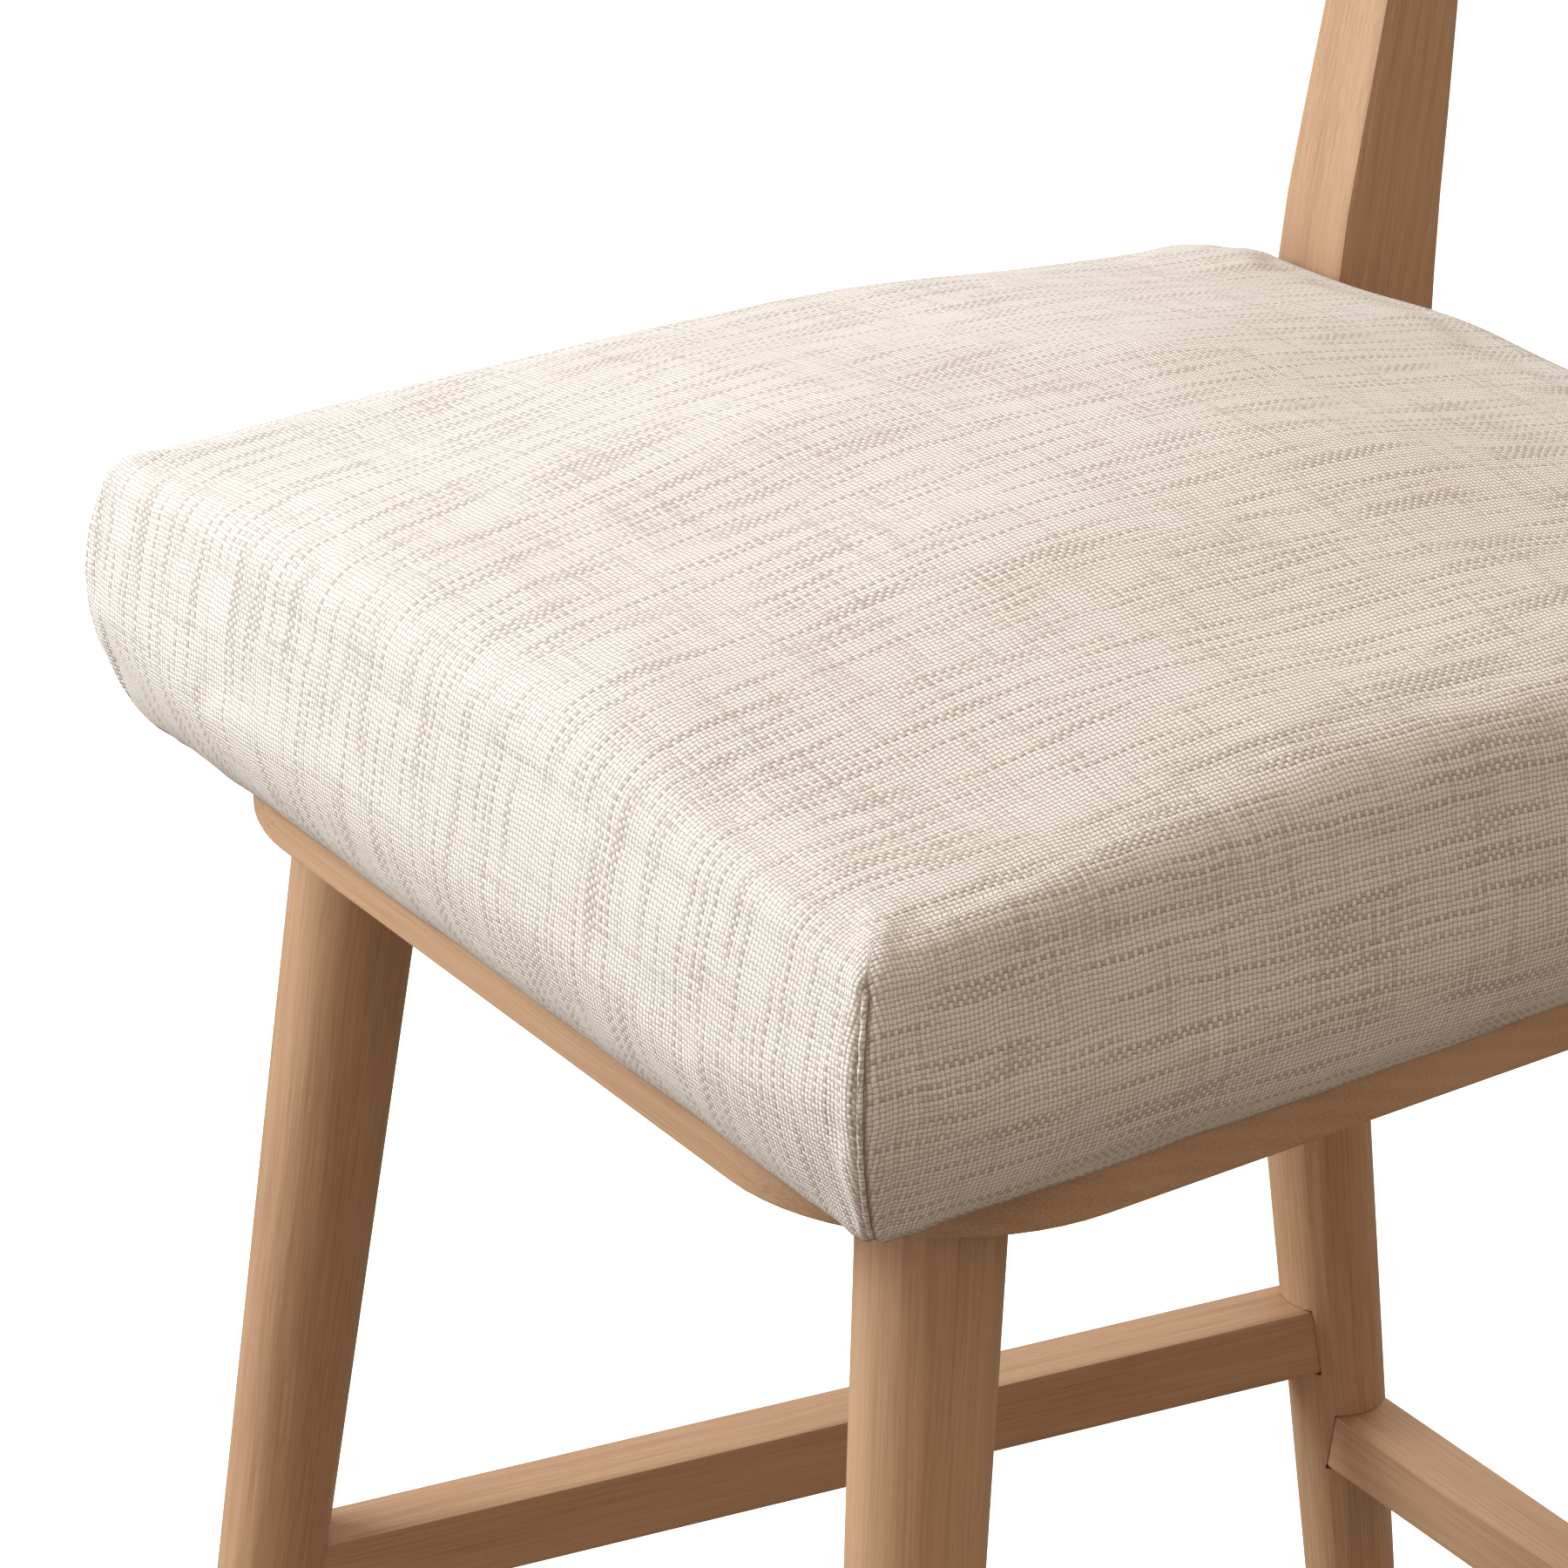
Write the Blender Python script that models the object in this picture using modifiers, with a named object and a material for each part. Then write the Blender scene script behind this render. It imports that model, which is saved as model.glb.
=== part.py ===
"""Upholstered counter stool with a wooden frame, in metres, +Z up, facing -Y.

A wooden seat board carries a padded seat. Four splayed, tapered legs are tenoned into the board
and tied by two side stretchers, a back stretcher and a front footrest. Two leaning back posts
stand on the rear of the board and carry a curved crest rail.
"""

import math

import bmesh
import bpy
from mathutils import Vector

# Gap that every pair of touching pieces keeps
FIT = 0.0003

# Seat board, a plate with rounded corners that narrows towards the back
BOARD_UNDERSIDE = 0.535
BOARD_THICKNESS = 0.019
BOARD_HALF_WIDTH = 0.216
BOARD_DEPTH = 0.476
BOARD_FRONT_RADIUS = 0.077
BOARD_BACK_RADIUS = 0.012
BOARD_EDGE_ROUND = 0.002
SIDE_TAPER = math.radians(2.9)
BOARD_TOP = BOARD_UNDERSIDE + BOARD_THICKNESS

# Legs, turned and tapered: places of their axes on the board's underside, in from its edges, and
# how far the axis runs outwards for each metre down
FRONT_LEG_SIDE_INSET = 0.0484
FRONT_LEG_Y = 0.0497
FRONT_SPLAY_X = 0.094
FRONT_SPLAY_Y = -0.111
BACK_LEG_SIDE_INSET = 0.0642
BACK_LEG_BACK_INSET = 0.0782
BACK_SPLAY_X = 0.020
BACK_SPLAY_Y = 0.132
LEG_TOP_RADIUS = 0.0226
LEG_FOOT_RADIUS = 0.0157
LEG_TENON_RADIUS = 0.012
LEG_TENON_LENGTH = 0.013
LEG_TENON_ROOT = 0.020
LEG_OVERRUN = 0.012

# Foot glides
GLIDE_RADIUS = 0.013
GLIDE_THICKNESS = 0.005
GLIDE_PIN_RADIUS = 0.002
GLIDE_PIN_LENGTH = 0.012

# Stretchers: top height above the floor, depth of the section and its width
SIDE_STRETCHER_TOP = 0.2415
SIDE_STRETCHER_HEIGHT = 0.0284
SIDE_STRETCHER_WIDTH = 0.0250
BACK_STRETCHER_TOP = 0.1946
BACK_STRETCHER_HEIGHT = 0.0248
BACK_STRETCHER_WIDTH = 0.0260
FOOTREST_TOP = 0.185
FOOTREST_HEIGHT = 0.0284
FOOTREST_WIDTH = 0.0250
STRETCHER_EDGE_ROUND = 0.0025
STRETCHER_TENON = 0.013

# Back posts: they stand on the board, behind the cushion, then lean back and grow thinner
POST_SIDE_INSET = 0.0072
POST_WIDTH_FOOT = 0.040
POST_WIDTH_TOP = 0.030
POST_DEPTH_FOOT = 0.046
POST_DEPTH_TOP = 0.026
POST_BACK_INSET = 0.002
POST_HEIGHT = 0.390
POST_LEAN = math.radians(11.3)
POST_BEND_HEIGHT = 0.086
POST_BEND_SPREAD = 0.040
POST_THIN_FROM = 0.060
POST_THIN_TO = 0.281
POST_EDGE_ROUND = 0.004
POST_STEPS = 14
POST_FRONT = BOARD_DEPTH - POST_BACK_INSET - POST_DEPTH_FOOT
BOARD_BACK_HALF_WIDTH = BOARD_HALF_WIDTH - BOARD_DEPTH * math.tan(SIDE_TAPER)
POST_X = BOARD_BACK_HALF_WIDTH - POST_SIDE_INSET - POST_WIDTH_FOOT / 2

# Crest rail, an arc in plan that leans with the posts
CREST_OVERHANG = 0.020
CREST_HEIGHT = 0.090
CREST_THICKNESS = 0.020
CREST_RADIUS = 0.600
CREST_TOP_GAP = 0.004
CREST_HOUSING = 0.005
CREST_EDGE_ROUND = 0.005
CREST_STEPS = 14
CREST_HALF_WIDTH = POST_X + POST_WIDTH_FOOT / 2 + CREST_OVERHANG

# Padded seat: fabric cover over foam on a plywood pan
CUSHION_OVERHANG = 0.0055
CUSHION_POST_GAP = 0.0015
CUSHION_FRONT_RADIUS = 0.014
CUSHION_BACK_RADIUS = 0.030
CUSHION_SMALLEST_RADIUS = 0.004
CUSHION_SIDE_HEIGHT = 0.072
CUSHION_BULGE = 0.013
CUSHION_EDGE_ROUND = 0.026
CUSHION_CROWN = 0.011
CUSHION_CROWN_RUN = 0.165
COVER_THICKNESS = 0.003
PAN_THICKNESS = 0.012
DUST_THICKNESS = 0.001

# Fixings
SCREW_RADIUS = 0.002
SCREW_HEAD_RADIUS = 0.0045
SCREW_HEAD_HEIGHT = 0.0028
POST_SCREW_BITE = 0.026
POST_SCREW_SPACING = 0.018
BOLT_RADIUS = 0.003
BOLT_HEAD_RADIUS = 0.0065
BOLT_HEAD_HEIGHT = 0.0035
BOLT_SETBACK = 0.0015
BOLT_X = 0.110
BOLT_FRONT_Y = 0.110
BOLT_BACK_Y = 0.330
NUT_RADIUS = 0.0048
NUT_FLANGE_RADIUS = 0.009
NUT_FLANGE_HEIGHT = 0.0015
CREST_SCREW_BITE = 0.009
CREST_SCREW_SPACING = 0.040
CREST_SCREW_SETBACK = 0.009
PLUG_THICKNESS = 0.003
PLUG_RECESS = 0.0005

# Facets
CORNER_STEPS = 7
BOARD_CORNER_STEPS = 17
LEG_STEPS = 24
SMALL_STEPS = 12
FLAT_ANGLE = math.radians(0.2)

WOOD = ("wood", (0.56, 0.36, 0.22), 0.55, 0.0)
PLYWOOD = ("plywood", (0.66, 0.50, 0.33), 0.75, 0.0)
FABRIC = ("fabric", (0.75, 0.69, 0.62), 0.95, 0.0)
FOAM = ("foam", (0.86, 0.80, 0.60), 0.95, 0.0)
LINING = ("lining", (0.05, 0.05, 0.05), 0.95, 0.0)
STEEL = ("steel", (0.60, 0.60, 0.58), 0.35, 1.0)
NYLON = ("nylon", (0.16, 0.15, 0.14), 0.50, 0.0)


def clear_scene():
    for obj in list(bpy.data.objects):
        bpy.data.objects.remove(obj, do_unlink=True)


def new_collection(name):
    collection = bpy.data.collections.new(name)
    bpy.context.scene.collection.children.link(collection)
    return collection


def new_material(node, look):
    kind, colour, roughness, metallic = look
    material = bpy.data.materials.new(f"{node}_{kind}")
    material.use_nodes = True
    shader = material.node_tree.nodes["Principled BSDF"]
    shader.inputs["Base Color"].default_value = (*colour, 1.0)
    shader.inputs["Roughness"].default_value = roughness
    shader.inputs["Metallic"].default_value = metallic
    material.diffuse_color = (*colour, 1.0)
    return material


class Stool:
    """The stool's collections, and the empty that all of its pieces hang from."""

    def __init__(self):
        self.parts = new_collection("counter_stool")
        self.cutters = new_collection("counter_stool_cutters")
        self.root = bpy.data.objects.new("counter_stool_root", None)
        self.parts.objects.link(self.root)

    def part(self, name, mesh, look, place=Vector(), turn=None):
        """A visible piece with its own material."""
        obj = bpy.data.objects.new(name, mesh)
        self.parts.objects.link(obj)
        mesh.materials.append(new_material(name, look))
        self._place(obj, place, turn)
        return obj

    def cutter(self, name, mesh, place=Vector(), turn=None):
        """A helper that Booleans use, which stays out of the render."""
        obj = bpy.data.objects.new(name, mesh)
        self.cutters.objects.link(obj)
        obj.hide_render = True
        obj.display_type = "WIRE"
        self._place(obj, place, turn)
        return obj

    def _place(self, obj, place, turn):
        obj.location = place
        if turn is not None:
            obj.rotation_mode = "QUATERNION"
            obj.rotation_quaternion = turn
        obj.parent = self.root


# Modelling helpers


def box_mesh(name, size):
    mesh = bpy.data.meshes.new(name)
    built = bmesh.new()
    bmesh.ops.create_cube(built, size=1.0)
    bmesh.ops.scale(built, vec=size, verts=built.verts)
    built.to_mesh(mesh)
    built.free()
    return mesh


def rod_mesh(name, radius, low, high, steps=SMALL_STEPS):
    """A cylinder along Z from low to high."""
    mesh = bpy.data.meshes.new(name)
    built = bmesh.new()
    bmesh.ops.create_cone(
        built, cap_ends=True, segments=steps, radius1=radius, radius2=radius, depth=high - low
    )
    bmesh.ops.translate(built, vec=(0, 0, (low + high) / 2), verts=built.verts)
    built.to_mesh(mesh)
    built.free()
    return mesh


def profile_mesh(name, profile):
    """The edges of a turned profile of (radius, height) points, down its outer side."""
    mesh = bpy.data.meshes.new(name)
    points = [(radius, 0.0, height) for radius, height in profile]
    mesh.from_pydata(points, [(i, i + 1) for i in range(len(points) - 1)], [])
    return mesh


def turn_profile(obj, steps):
    screw = obj.modifiers.new("Turning", "SCREW")
    screw.steps = steps
    screw.render_steps = steps
    screw.use_merge_vertices = True
    screw.merge_threshold = 0.0001
    screw.use_smooth_shade = False


def round_edges(obj, width, segments, angle=math.radians(40)):
    bevel = obj.modifiers.new("Rounding", "BEVEL")
    bevel.width = width
    bevel.segments = segments
    bevel.limit_method = "ANGLE"
    bevel.angle_limit = angle


def combine(obj, tool, operation):
    boolean = obj.modifiers.new(tool.name, "BOOLEAN")
    boolean.operation = operation
    boolean.solver = "EXACT"
    boolean.object = tool


def subtract(obj, tool):
    combine(obj, tool, "DIFFERENCE")


def along(direction):
    """The turn that points an object's own Z axis in a direction."""
    return direction.normalized().to_track_quat("Z", "Y")


def rounded_polygon(corners, radii, steps):
    """An anticlockwise outline whose corners are arcs of the given radii."""
    points = []
    for i, corner in enumerate(corners):
        corner = Vector(corner)
        before = (Vector(corners[i - 1]) - corner).normalized()
        after = (Vector(corners[(i + 1) % len(corners)]) - corner).normalized()
        half_angle = before.angle(after) / 2
        centre = corner + (before + after).normalized() * radii[i] / math.sin(half_angle)
        start = corner + before * radii[i] / math.tan(half_angle) - centre
        sweep = math.pi - 2 * half_angle
        for step in range(steps):
            turn = sweep * step / (steps - 1)
            cos, sin = math.cos(turn), math.sin(turn)
            turned = Vector((start.x * cos - start.y * sin, start.x * sin + start.y * cos))
            points.append(centre + turned)
    return points


def half_width_at(y, grow=0.0):
    """Half the seat's width at a distance behind the board's front edge."""
    return BOARD_HALF_WIDTH + grow / math.cos(SIDE_TAPER) - y * math.tan(SIDE_TAPER)


def seat_outline(front, back, grow, front_radius, back_radius, steps=CORNER_STEPS):
    """A symmetric outline that follows the board's sides, grown outwards by grow at the sides."""
    corners = [
        (-half_width_at(front, grow), front),
        (half_width_at(front, grow), front),
        (half_width_at(back, grow), back),
        (-half_width_at(back, grow), back),
    ]
    radii = [front_radius, front_radius, back_radius, back_radius]
    return rounded_polygon(corners, radii, steps)


def plate_mesh(name, outline, thickness):
    """A flat plate: its filled 2D outline, extruded both ways, as a closed mesh."""
    curve = bpy.data.curves.new(name, "CURVE")
    curve.dimensions = "2D"
    curve.fill_mode = "BOTH"
    curve.extrude = thickness / 2
    spline = curve.splines.new("POLY")
    spline.points.add(len(outline) - 1)
    for point, (x, y) in zip(spline.points, outline):
        point.co = (x, y, 0.0, 1.0)
    spline.use_cyclic_u = True
    holder = bpy.data.objects.new(name, curve)
    bpy.context.scene.collection.objects.link(holder)
    graph = bpy.context.evaluated_depsgraph_get()
    mesh = bpy.data.meshes.new_from_object(holder.evaluated_get(graph))
    bpy.data.objects.remove(holder)
    bpy.data.curves.remove(curve)
    welded = bmesh.new()
    welded.from_mesh(mesh)
    bmesh.ops.remove_doubles(welded, verts=welded.verts, dist=0.00001)
    bmesh.ops.dissolve_limit(
        welded, angle_limit=FLAT_ANGLE, verts=welded.verts, edges=welded.edges
    )
    bmesh.ops.recalc_face_normals(welded, faces=welded.faces)
    welded.to_mesh(mesh)
    welded.free()
    return mesh


def loft_mesh(name, rings):
    """A closed skin over level rings of equal point counts, lowest first."""
    built = bmesh.new()
    rows = [[built.verts.new((x, y, z)) for x, y in outline] for z, outline in rings]
    for low, high in zip(rows, rows[1:]):
        for i in range(len(low)):
            following = (i + 1) % len(low)
            built.faces.new((low[i], low[following], high[following], high[i]))
    built.faces.new(list(reversed(rows[0])))
    built.faces.new(rows[-1])
    mesh = bpy.data.meshes.new(name)
    built.to_mesh(mesh)
    built.free()
    return mesh


# Legs, glides and stretchers


class Leg:
    """One leg's axis: where it meets the board's underside, and where it goes from there."""

    def __init__(self, name, x, y, splay_x, splay_y):
        self.name = name
        self.top = Vector((x, y, BOARD_UNDERSIDE))
        self.fall = Vector((splay_x, splay_y, -1.0))

    def axis_at(self, height):
        return self.top + self.fall * (BOARD_UNDERSIDE - height)

    def radius_at(self, height):
        share = (BOARD_UNDERSIDE - height) / BOARD_UNDERSIDE
        return LEG_TOP_RADIUS + (LEG_FOOT_RADIUS - LEG_TOP_RADIUS) * share

    def upwards(self):
        return along(-self.fall)


def all_legs():
    front_x = BOARD_HALF_WIDTH - FRONT_LEG_SIDE_INSET
    back_y = BOARD_DEPTH - BACK_LEG_BACK_INSET
    back_x = half_width_at(back_y) - BACK_LEG_SIDE_INSET
    legs = []
    for side, sign in (("left", -1), ("right", 1)):
        front_splay = (sign * FRONT_SPLAY_X, FRONT_SPLAY_Y)
        back_splay = (sign * BACK_SPLAY_X, BACK_SPLAY_Y)
        legs.append(Leg(f"front_{side}", sign * front_x, FRONT_LEG_Y, *front_splay))
        legs.append(Leg(f"back_{side}", sign * back_x, back_y, *back_splay))
    return {leg.name: leg for leg in legs}


def tenon_cutter(stool, leg, clearance):
    """The round tenon on a leg's top, or the hole for it, which is larger by the clearance."""
    mesh = rod_mesh(
        f"tenon_{leg.name}",
        LEG_TENON_RADIUS + clearance,
        -LEG_TENON_ROOT,
        LEG_TENON_LENGTH + clearance,
        LEG_STEPS,
    )
    return stool.cutter(mesh.name, mesh, leg.top, leg.upwards())


def build_leg(stool, leg, above_legs, below_legs):
    stretch = leg.fall.length
    top, foot = LEG_OVERRUN, -BOARD_UNDERSIDE * stretch - LEG_OVERRUN
    slope = (LEG_TOP_RADIUS - LEG_FOOT_RADIUS) / (BOARD_UNDERSIDE * stretch)
    profile = [
        (0.0, top),
        (LEG_TOP_RADIUS + slope * top, top),
        (LEG_TOP_RADIUS + slope * foot, foot),
        (0.0, foot),
    ]
    name = f"leg_{leg.name}"
    obj = stool.part(name, profile_mesh(name, profile), WOOD, leg.top, leg.upwards())
    turn_profile(obj, LEG_STEPS)
    subtract(obj, above_legs)
    subtract(obj, below_legs)
    combine(obj, tenon_cutter(stool, leg, 0.0), "UNION")
    return obj


def build_glide(stool, leg, leg_obj):
    """A nylon disc under the foot, with a pin that goes up into the leg."""
    place = leg.axis_at(GLIDE_THICKNESS)
    place.z = 0.0
    profile = [
        (0.0, GLIDE_THICKNESS + GLIDE_PIN_LENGTH),
        (GLIDE_PIN_RADIUS, GLIDE_THICKNESS + GLIDE_PIN_LENGTH),
        (GLIDE_PIN_RADIUS, GLIDE_THICKNESS),
        (GLIDE_RADIUS, GLIDE_THICKNESS),
        (GLIDE_RADIUS, GLIDE_THICKNESS / 3),
        (GLIDE_RADIUS - GLIDE_THICKNESS / 3, 0.0),
        (0.0, 0.0),
    ]
    name = f"glide_{leg.name}"
    obj = stool.part(name, profile_mesh(name, profile), NYLON, place)
    turn_profile(obj, LEG_STEPS)
    hole = rod_mesh(
        f"glide_hole_{leg.name}",
        GLIDE_PIN_RADIUS + FIT,
        0.0,
        GLIDE_THICKNESS + GLIDE_PIN_LENGTH + FIT,
    )
    subtract(leg_obj, stool.cutter(hole.name, hole, place))


def build_stretcher(stool, name, first, second, top, height, width, leg_objs):
    """A level bar between two legs, housed in both."""
    middle = top - height / 2
    start, end = first.axis_at(middle), second.axis_at(middle)
    run = end - start
    reach = run.length - first.radius_at(middle) - second.radius_at(middle) + 2 * STRETCHER_TENON
    offset = (first.radius_at(middle) - second.radius_at(middle)) / 2
    place = (start + end) / 2 + run.normalized() * offset
    turn = Vector((1, 0, 0)).rotation_difference(run)
    bar = stool.part(name, box_mesh(name, (reach, width, height)), WOOD, place, turn)
    round_edges(bar, STRETCHER_EDGE_ROUND, 2)
    sizes = (reach + 2 * FIT, width + 2 * FIT, height + 2 * FIT)
    mortise = stool.cutter(f"{name}_mortise", box_mesh(f"{name}_mortise", sizes), place, turn)
    for leg in (first, second):
        subtract(leg_objs[leg.name], mortise)


def build_base(stool, legs):
    slab = (2 * BOARD_DEPTH, 2 * BOARD_DEPTH, BOARD_THICKNESS * 4)
    above = Vector((0, BOARD_DEPTH / 2, BOARD_UNDERSIDE - FIT + slab[2] / 2))
    below = Vector((0, BOARD_DEPTH / 2, GLIDE_THICKNESS + FIT - slab[2] / 2))
    above_legs = stool.cutter("above_legs", box_mesh("above_legs", slab), above)
    below_legs = stool.cutter("below_legs", box_mesh("below_legs", slab), below)
    leg_objs = {}
    for leg in legs.values():
        leg_objs[leg.name] = build_leg(stool, leg, above_legs, below_legs)
        build_glide(stool, leg, leg_objs[leg.name])
    side_sizes = (SIDE_STRETCHER_TOP, SIDE_STRETCHER_HEIGHT, SIDE_STRETCHER_WIDTH)
    back_sizes = (BACK_STRETCHER_TOP, BACK_STRETCHER_HEIGHT, BACK_STRETCHER_WIDTH)
    front_sizes = (FOOTREST_TOP, FOOTREST_HEIGHT, FOOTREST_WIDTH)
    bars = (
        ("side_stretcher_left", "front_left", "back_left", side_sizes),
        ("side_stretcher_right", "front_right", "back_right", side_sizes),
        ("back_stretcher", "back_left", "back_right", back_sizes),
        ("front_footrest", "front_left", "front_right", front_sizes),
    )
    for name, first, second, sizes in bars:
        build_stretcher(stool, name, legs[first], legs[second], *sizes, leg_objs)


# Seat board and padded seat


def build_board(stool, legs):
    radii = (BOARD_FRONT_RADIUS, BOARD_BACK_RADIUS)
    outline = seat_outline(0.0, BOARD_DEPTH, 0.0, *radii, BOARD_CORNER_STEPS)
    mesh = plate_mesh("seat_board", outline, BOARD_THICKNESS)
    place = Vector((0, 0, BOARD_UNDERSIDE + BOARD_THICKNESS / 2))
    board = stool.part("seat_board", mesh, WOOD, place)
    round_edges(board, BOARD_EDGE_ROUND, 2)
    for leg in legs.values():
        subtract(board, tenon_cutter(stool, leg, FIT))
    return board


def cushion_levels(shrink, bottom, edge_steps=4, crown_steps=5):
    """(height, grow) pairs up the cushion's skin, or up the same skin moved inwards by shrink."""
    levels = [(bottom, -shrink)]
    side_low = BOARD_TOP + FIT
    for share in (0.25, 0.5, 0.75, 1.0):
        bulge = CUSHION_BULGE * math.sin(math.pi * share)
        levels.append((side_low + CUSHION_SIDE_HEIGHT * share, bulge - shrink))
    edge_low = side_low + CUSHION_SIDE_HEIGHT
    round_up = CUSHION_EDGE_ROUND - shrink
    for step in range(1, edge_steps + 1):
        turn = math.pi / 2 * step / edge_steps
        inset = CUSHION_EDGE_ROUND * (1 - math.cos(turn))
        levels.append((edge_low + round_up * math.sin(turn), -inset - shrink))
    for step in range(1, crown_steps + 1):
        share = step / crown_steps
        rise = CUSHION_CROWN * (1 - (1 - share) ** 2)
        inset = CUSHION_EDGE_ROUND + CUSHION_CROWN_RUN * share
        levels.append((edge_low + round_up + rise, -inset - shrink))
    return levels


def cushion_rings(levels):
    """The seat outline at each level, with its front, sides and back moved by the same amount."""
    back_edge = POST_FRONT - CUSHION_POST_GAP - CUSHION_BULGE
    rings = []
    for height, grow in levels:
        front_radius = max(CUSHION_FRONT_RADIUS + grow, CUSHION_SMALLEST_RADIUS)
        back_radius = max(CUSHION_BACK_RADIUS + grow, CUSHION_SMALLEST_RADIUS)
        outline = seat_outline(
            -CUSHION_OVERHANG - grow,
            back_edge + grow,
            CUSHION_OVERHANG + grow,
            front_radius,
            back_radius,
        )
        rings.append((height, outline))
    return rings


def build_padded_seat(stool):
    """The fabric cover over foam, plywood pan and dust cover. Returns the pan."""
    low = BOARD_TOP + FIT
    inside = COVER_THICKNESS + FIT
    pan_low = low + DUST_THICKNESS + FIT
    pan_high = pan_low + PAN_THICKNESS
    outer = cushion_rings(cushion_levels(0.0, low))
    cover = stool.part("seat_cover", loft_mesh("seat_cover", outer), FABRIC)
    hollow_levels = cushion_levels(COVER_THICKNESS, low)
    hollow_levels[0] = (low - COVER_THICKNESS, -COVER_THICKNESS)
    hollow = cushion_rings(hollow_levels)
    subtract(cover, stool.cutter("cover_hollow", loft_mesh("cover_hollow", hollow)))
    foam_levels = [level for level in cushion_levels(inside, low) if level[0] > pan_high + FIT]
    foam_levels.insert(0, (pan_high + FIT, -inside))
    stool.part("seat_foam", loft_mesh("seat_foam", cushion_rings(foam_levels)), FOAM)
    ((_, outline),) = cushion_rings([(0.0, -inside)])
    dust = plate_mesh("dust_cover", outline, DUST_THICKNESS)
    dust_obj = stool.part("dust_cover", dust, LINING, Vector((0, 0, low + DUST_THICKNESS / 2)))
    pan = plate_mesh("seat_pan", outline, PAN_THICKNESS)
    pan_obj = stool.part("seat_pan", pan, PLYWOOD, Vector((0, 0, (pan_low + pan_high) / 2)))
    return pan_obj, dust_obj, pan_high


# Back posts and crest rail


def smooth_ramp(distance, spread):
    """Zero well before the bend, the distance itself well after it, and a parabola between."""
    if distance <= -spread:
        return 0.0
    if distance >= spread:
        return distance
    return (distance + spread) ** 2 / (4 * spread)


def smooth_share(value, low, high):
    share = min(max((value - low) / (high - low), 0.0), 1.0)
    return share * share * (3 - 2 * share)


def post_front_at(height):
    """Y of the post's front face at a height above the board."""
    bend = smooth_ramp(height - POST_BEND_HEIGHT, POST_BEND_SPREAD)
    return POST_FRONT + math.tan(POST_LEAN) * bend


def post_depth_at(height):
    thinned = smooth_share(height, POST_THIN_FROM, POST_THIN_TO)
    return POST_DEPTH_FOOT + (POST_DEPTH_TOP - POST_DEPTH_FOOT) * thinned


def post_mesh(name, clearance):
    """The post's side view extruded across its width, which narrows towards the top."""
    heights = [POST_HEIGHT * step / POST_STEPS for step in range(POST_STEPS + 1)]
    heights[0] -= clearance
    heights[-1] += clearance
    front = [(post_front_at(h) - clearance, h) for h in heights]
    back = [(post_front_at(h) + post_depth_at(h) + clearance, h) for h in reversed(heights)]
    mesh = plate_mesh(name, [Vector(point) for point in front + back], 1.0)
    for vertex in mesh.vertices:
        y, height, side = vertex.co
        narrowing = (POST_WIDTH_FOOT - POST_WIDTH_TOP) * height / POST_HEIGHT
        half_width = (POST_WIDTH_FOOT - narrowing) / 2 + clearance
        vertex.co = (math.copysign(half_width, side), y, height)
    return mesh


def build_posts(stool):
    posts = []
    for side, sign in (("left", -1), ("right", 1)):
        place = Vector((sign * POST_X, 0, BOARD_TOP + FIT))
        name = f"back_post_{side}"
        post = stool.part(name, post_mesh(name, 0.0), WOOD, place)
        round_edges(post, POST_EDGE_ROUND, 2, math.radians(50))
        housing = stool.cutter(f"{name}_housing", post_mesh(f"{name}_housing", FIT), place)
        posts.append((side, place, post, housing))
    return posts


def crest_frame():
    """The crest rail's centre on the posts' front face, its upward and its forward direction."""
    up = Vector((0, math.sin(POST_LEAN), math.cos(POST_LEAN)))
    forward = Vector((0, -math.cos(POST_LEAN), math.sin(POST_LEAN)))
    middle = POST_HEIGHT - (CREST_TOP_GAP + CREST_HEIGHT / 2) * math.cos(POST_LEAN)
    centre = Vector((0, post_front_at(middle), BOARD_TOP + FIT + middle))
    return centre, up, forward


def crest_outline():
    """The rail's plan: two arcs about one centre in front of it, with Y measured backwards."""
    half_angle = math.asin(CREST_HALF_WIDTH / CREST_RADIUS)
    angles = [half_angle * (2 * step / CREST_STEPS - 1) for step in range(CREST_STEPS + 1)]
    inner = CREST_RADIUS - CREST_THICKNESS / 2
    outer = CREST_RADIUS + CREST_THICKNESS / 2
    back_at_post = math.sqrt(outer**2 - POST_X**2)
    shift = CREST_HOUSING - back_at_post
    near = [Vector((inner * math.sin(a), inner * math.cos(a) + shift)) for a in angles]
    far = [Vector((outer * math.sin(a), outer * math.cos(a) + shift)) for a in reversed(angles)]
    return near + far


def build_crest(stool, posts):
    centre, up, forward = crest_frame()
    mesh = plate_mesh("crest_rail", crest_outline(), CREST_HEIGHT)
    turn = Vector((0, 0, 1)).rotation_difference(up)
    rail = stool.part("crest_rail", mesh, WOOD, centre, turn)
    round_edges(rail, CREST_EDGE_ROUND, 3, math.radians(50))
    for _, _, _, housing in posts:
        subtract(rail, housing)
    return rail, centre, up, forward


# Fixings


def fixing_profile(radius, head_radius, head_height, length):
    """A shank that goes up from the underside of its head, which is at height zero."""
    point = radius
    return [
        (0.0, length),
        (radius / 2, length),
        (radius, length - point),
        (radius, 0.0),
        (head_radius, 0.0),
        (head_radius, -head_height / 2),
        (head_radius - head_height / 2, -head_height),
        (0.0, -head_height),
    ]


def add_fixing(stool, name, sizes, place, direction, look=STEEL):
    """A screw or bolt from its head's seat along a direction."""
    obj = stool.part(name, profile_mesh(name, fixing_profile(*sizes)), look, place, along(direction))
    turn_profile(obj, SMALL_STEPS)
    return obj


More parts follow.
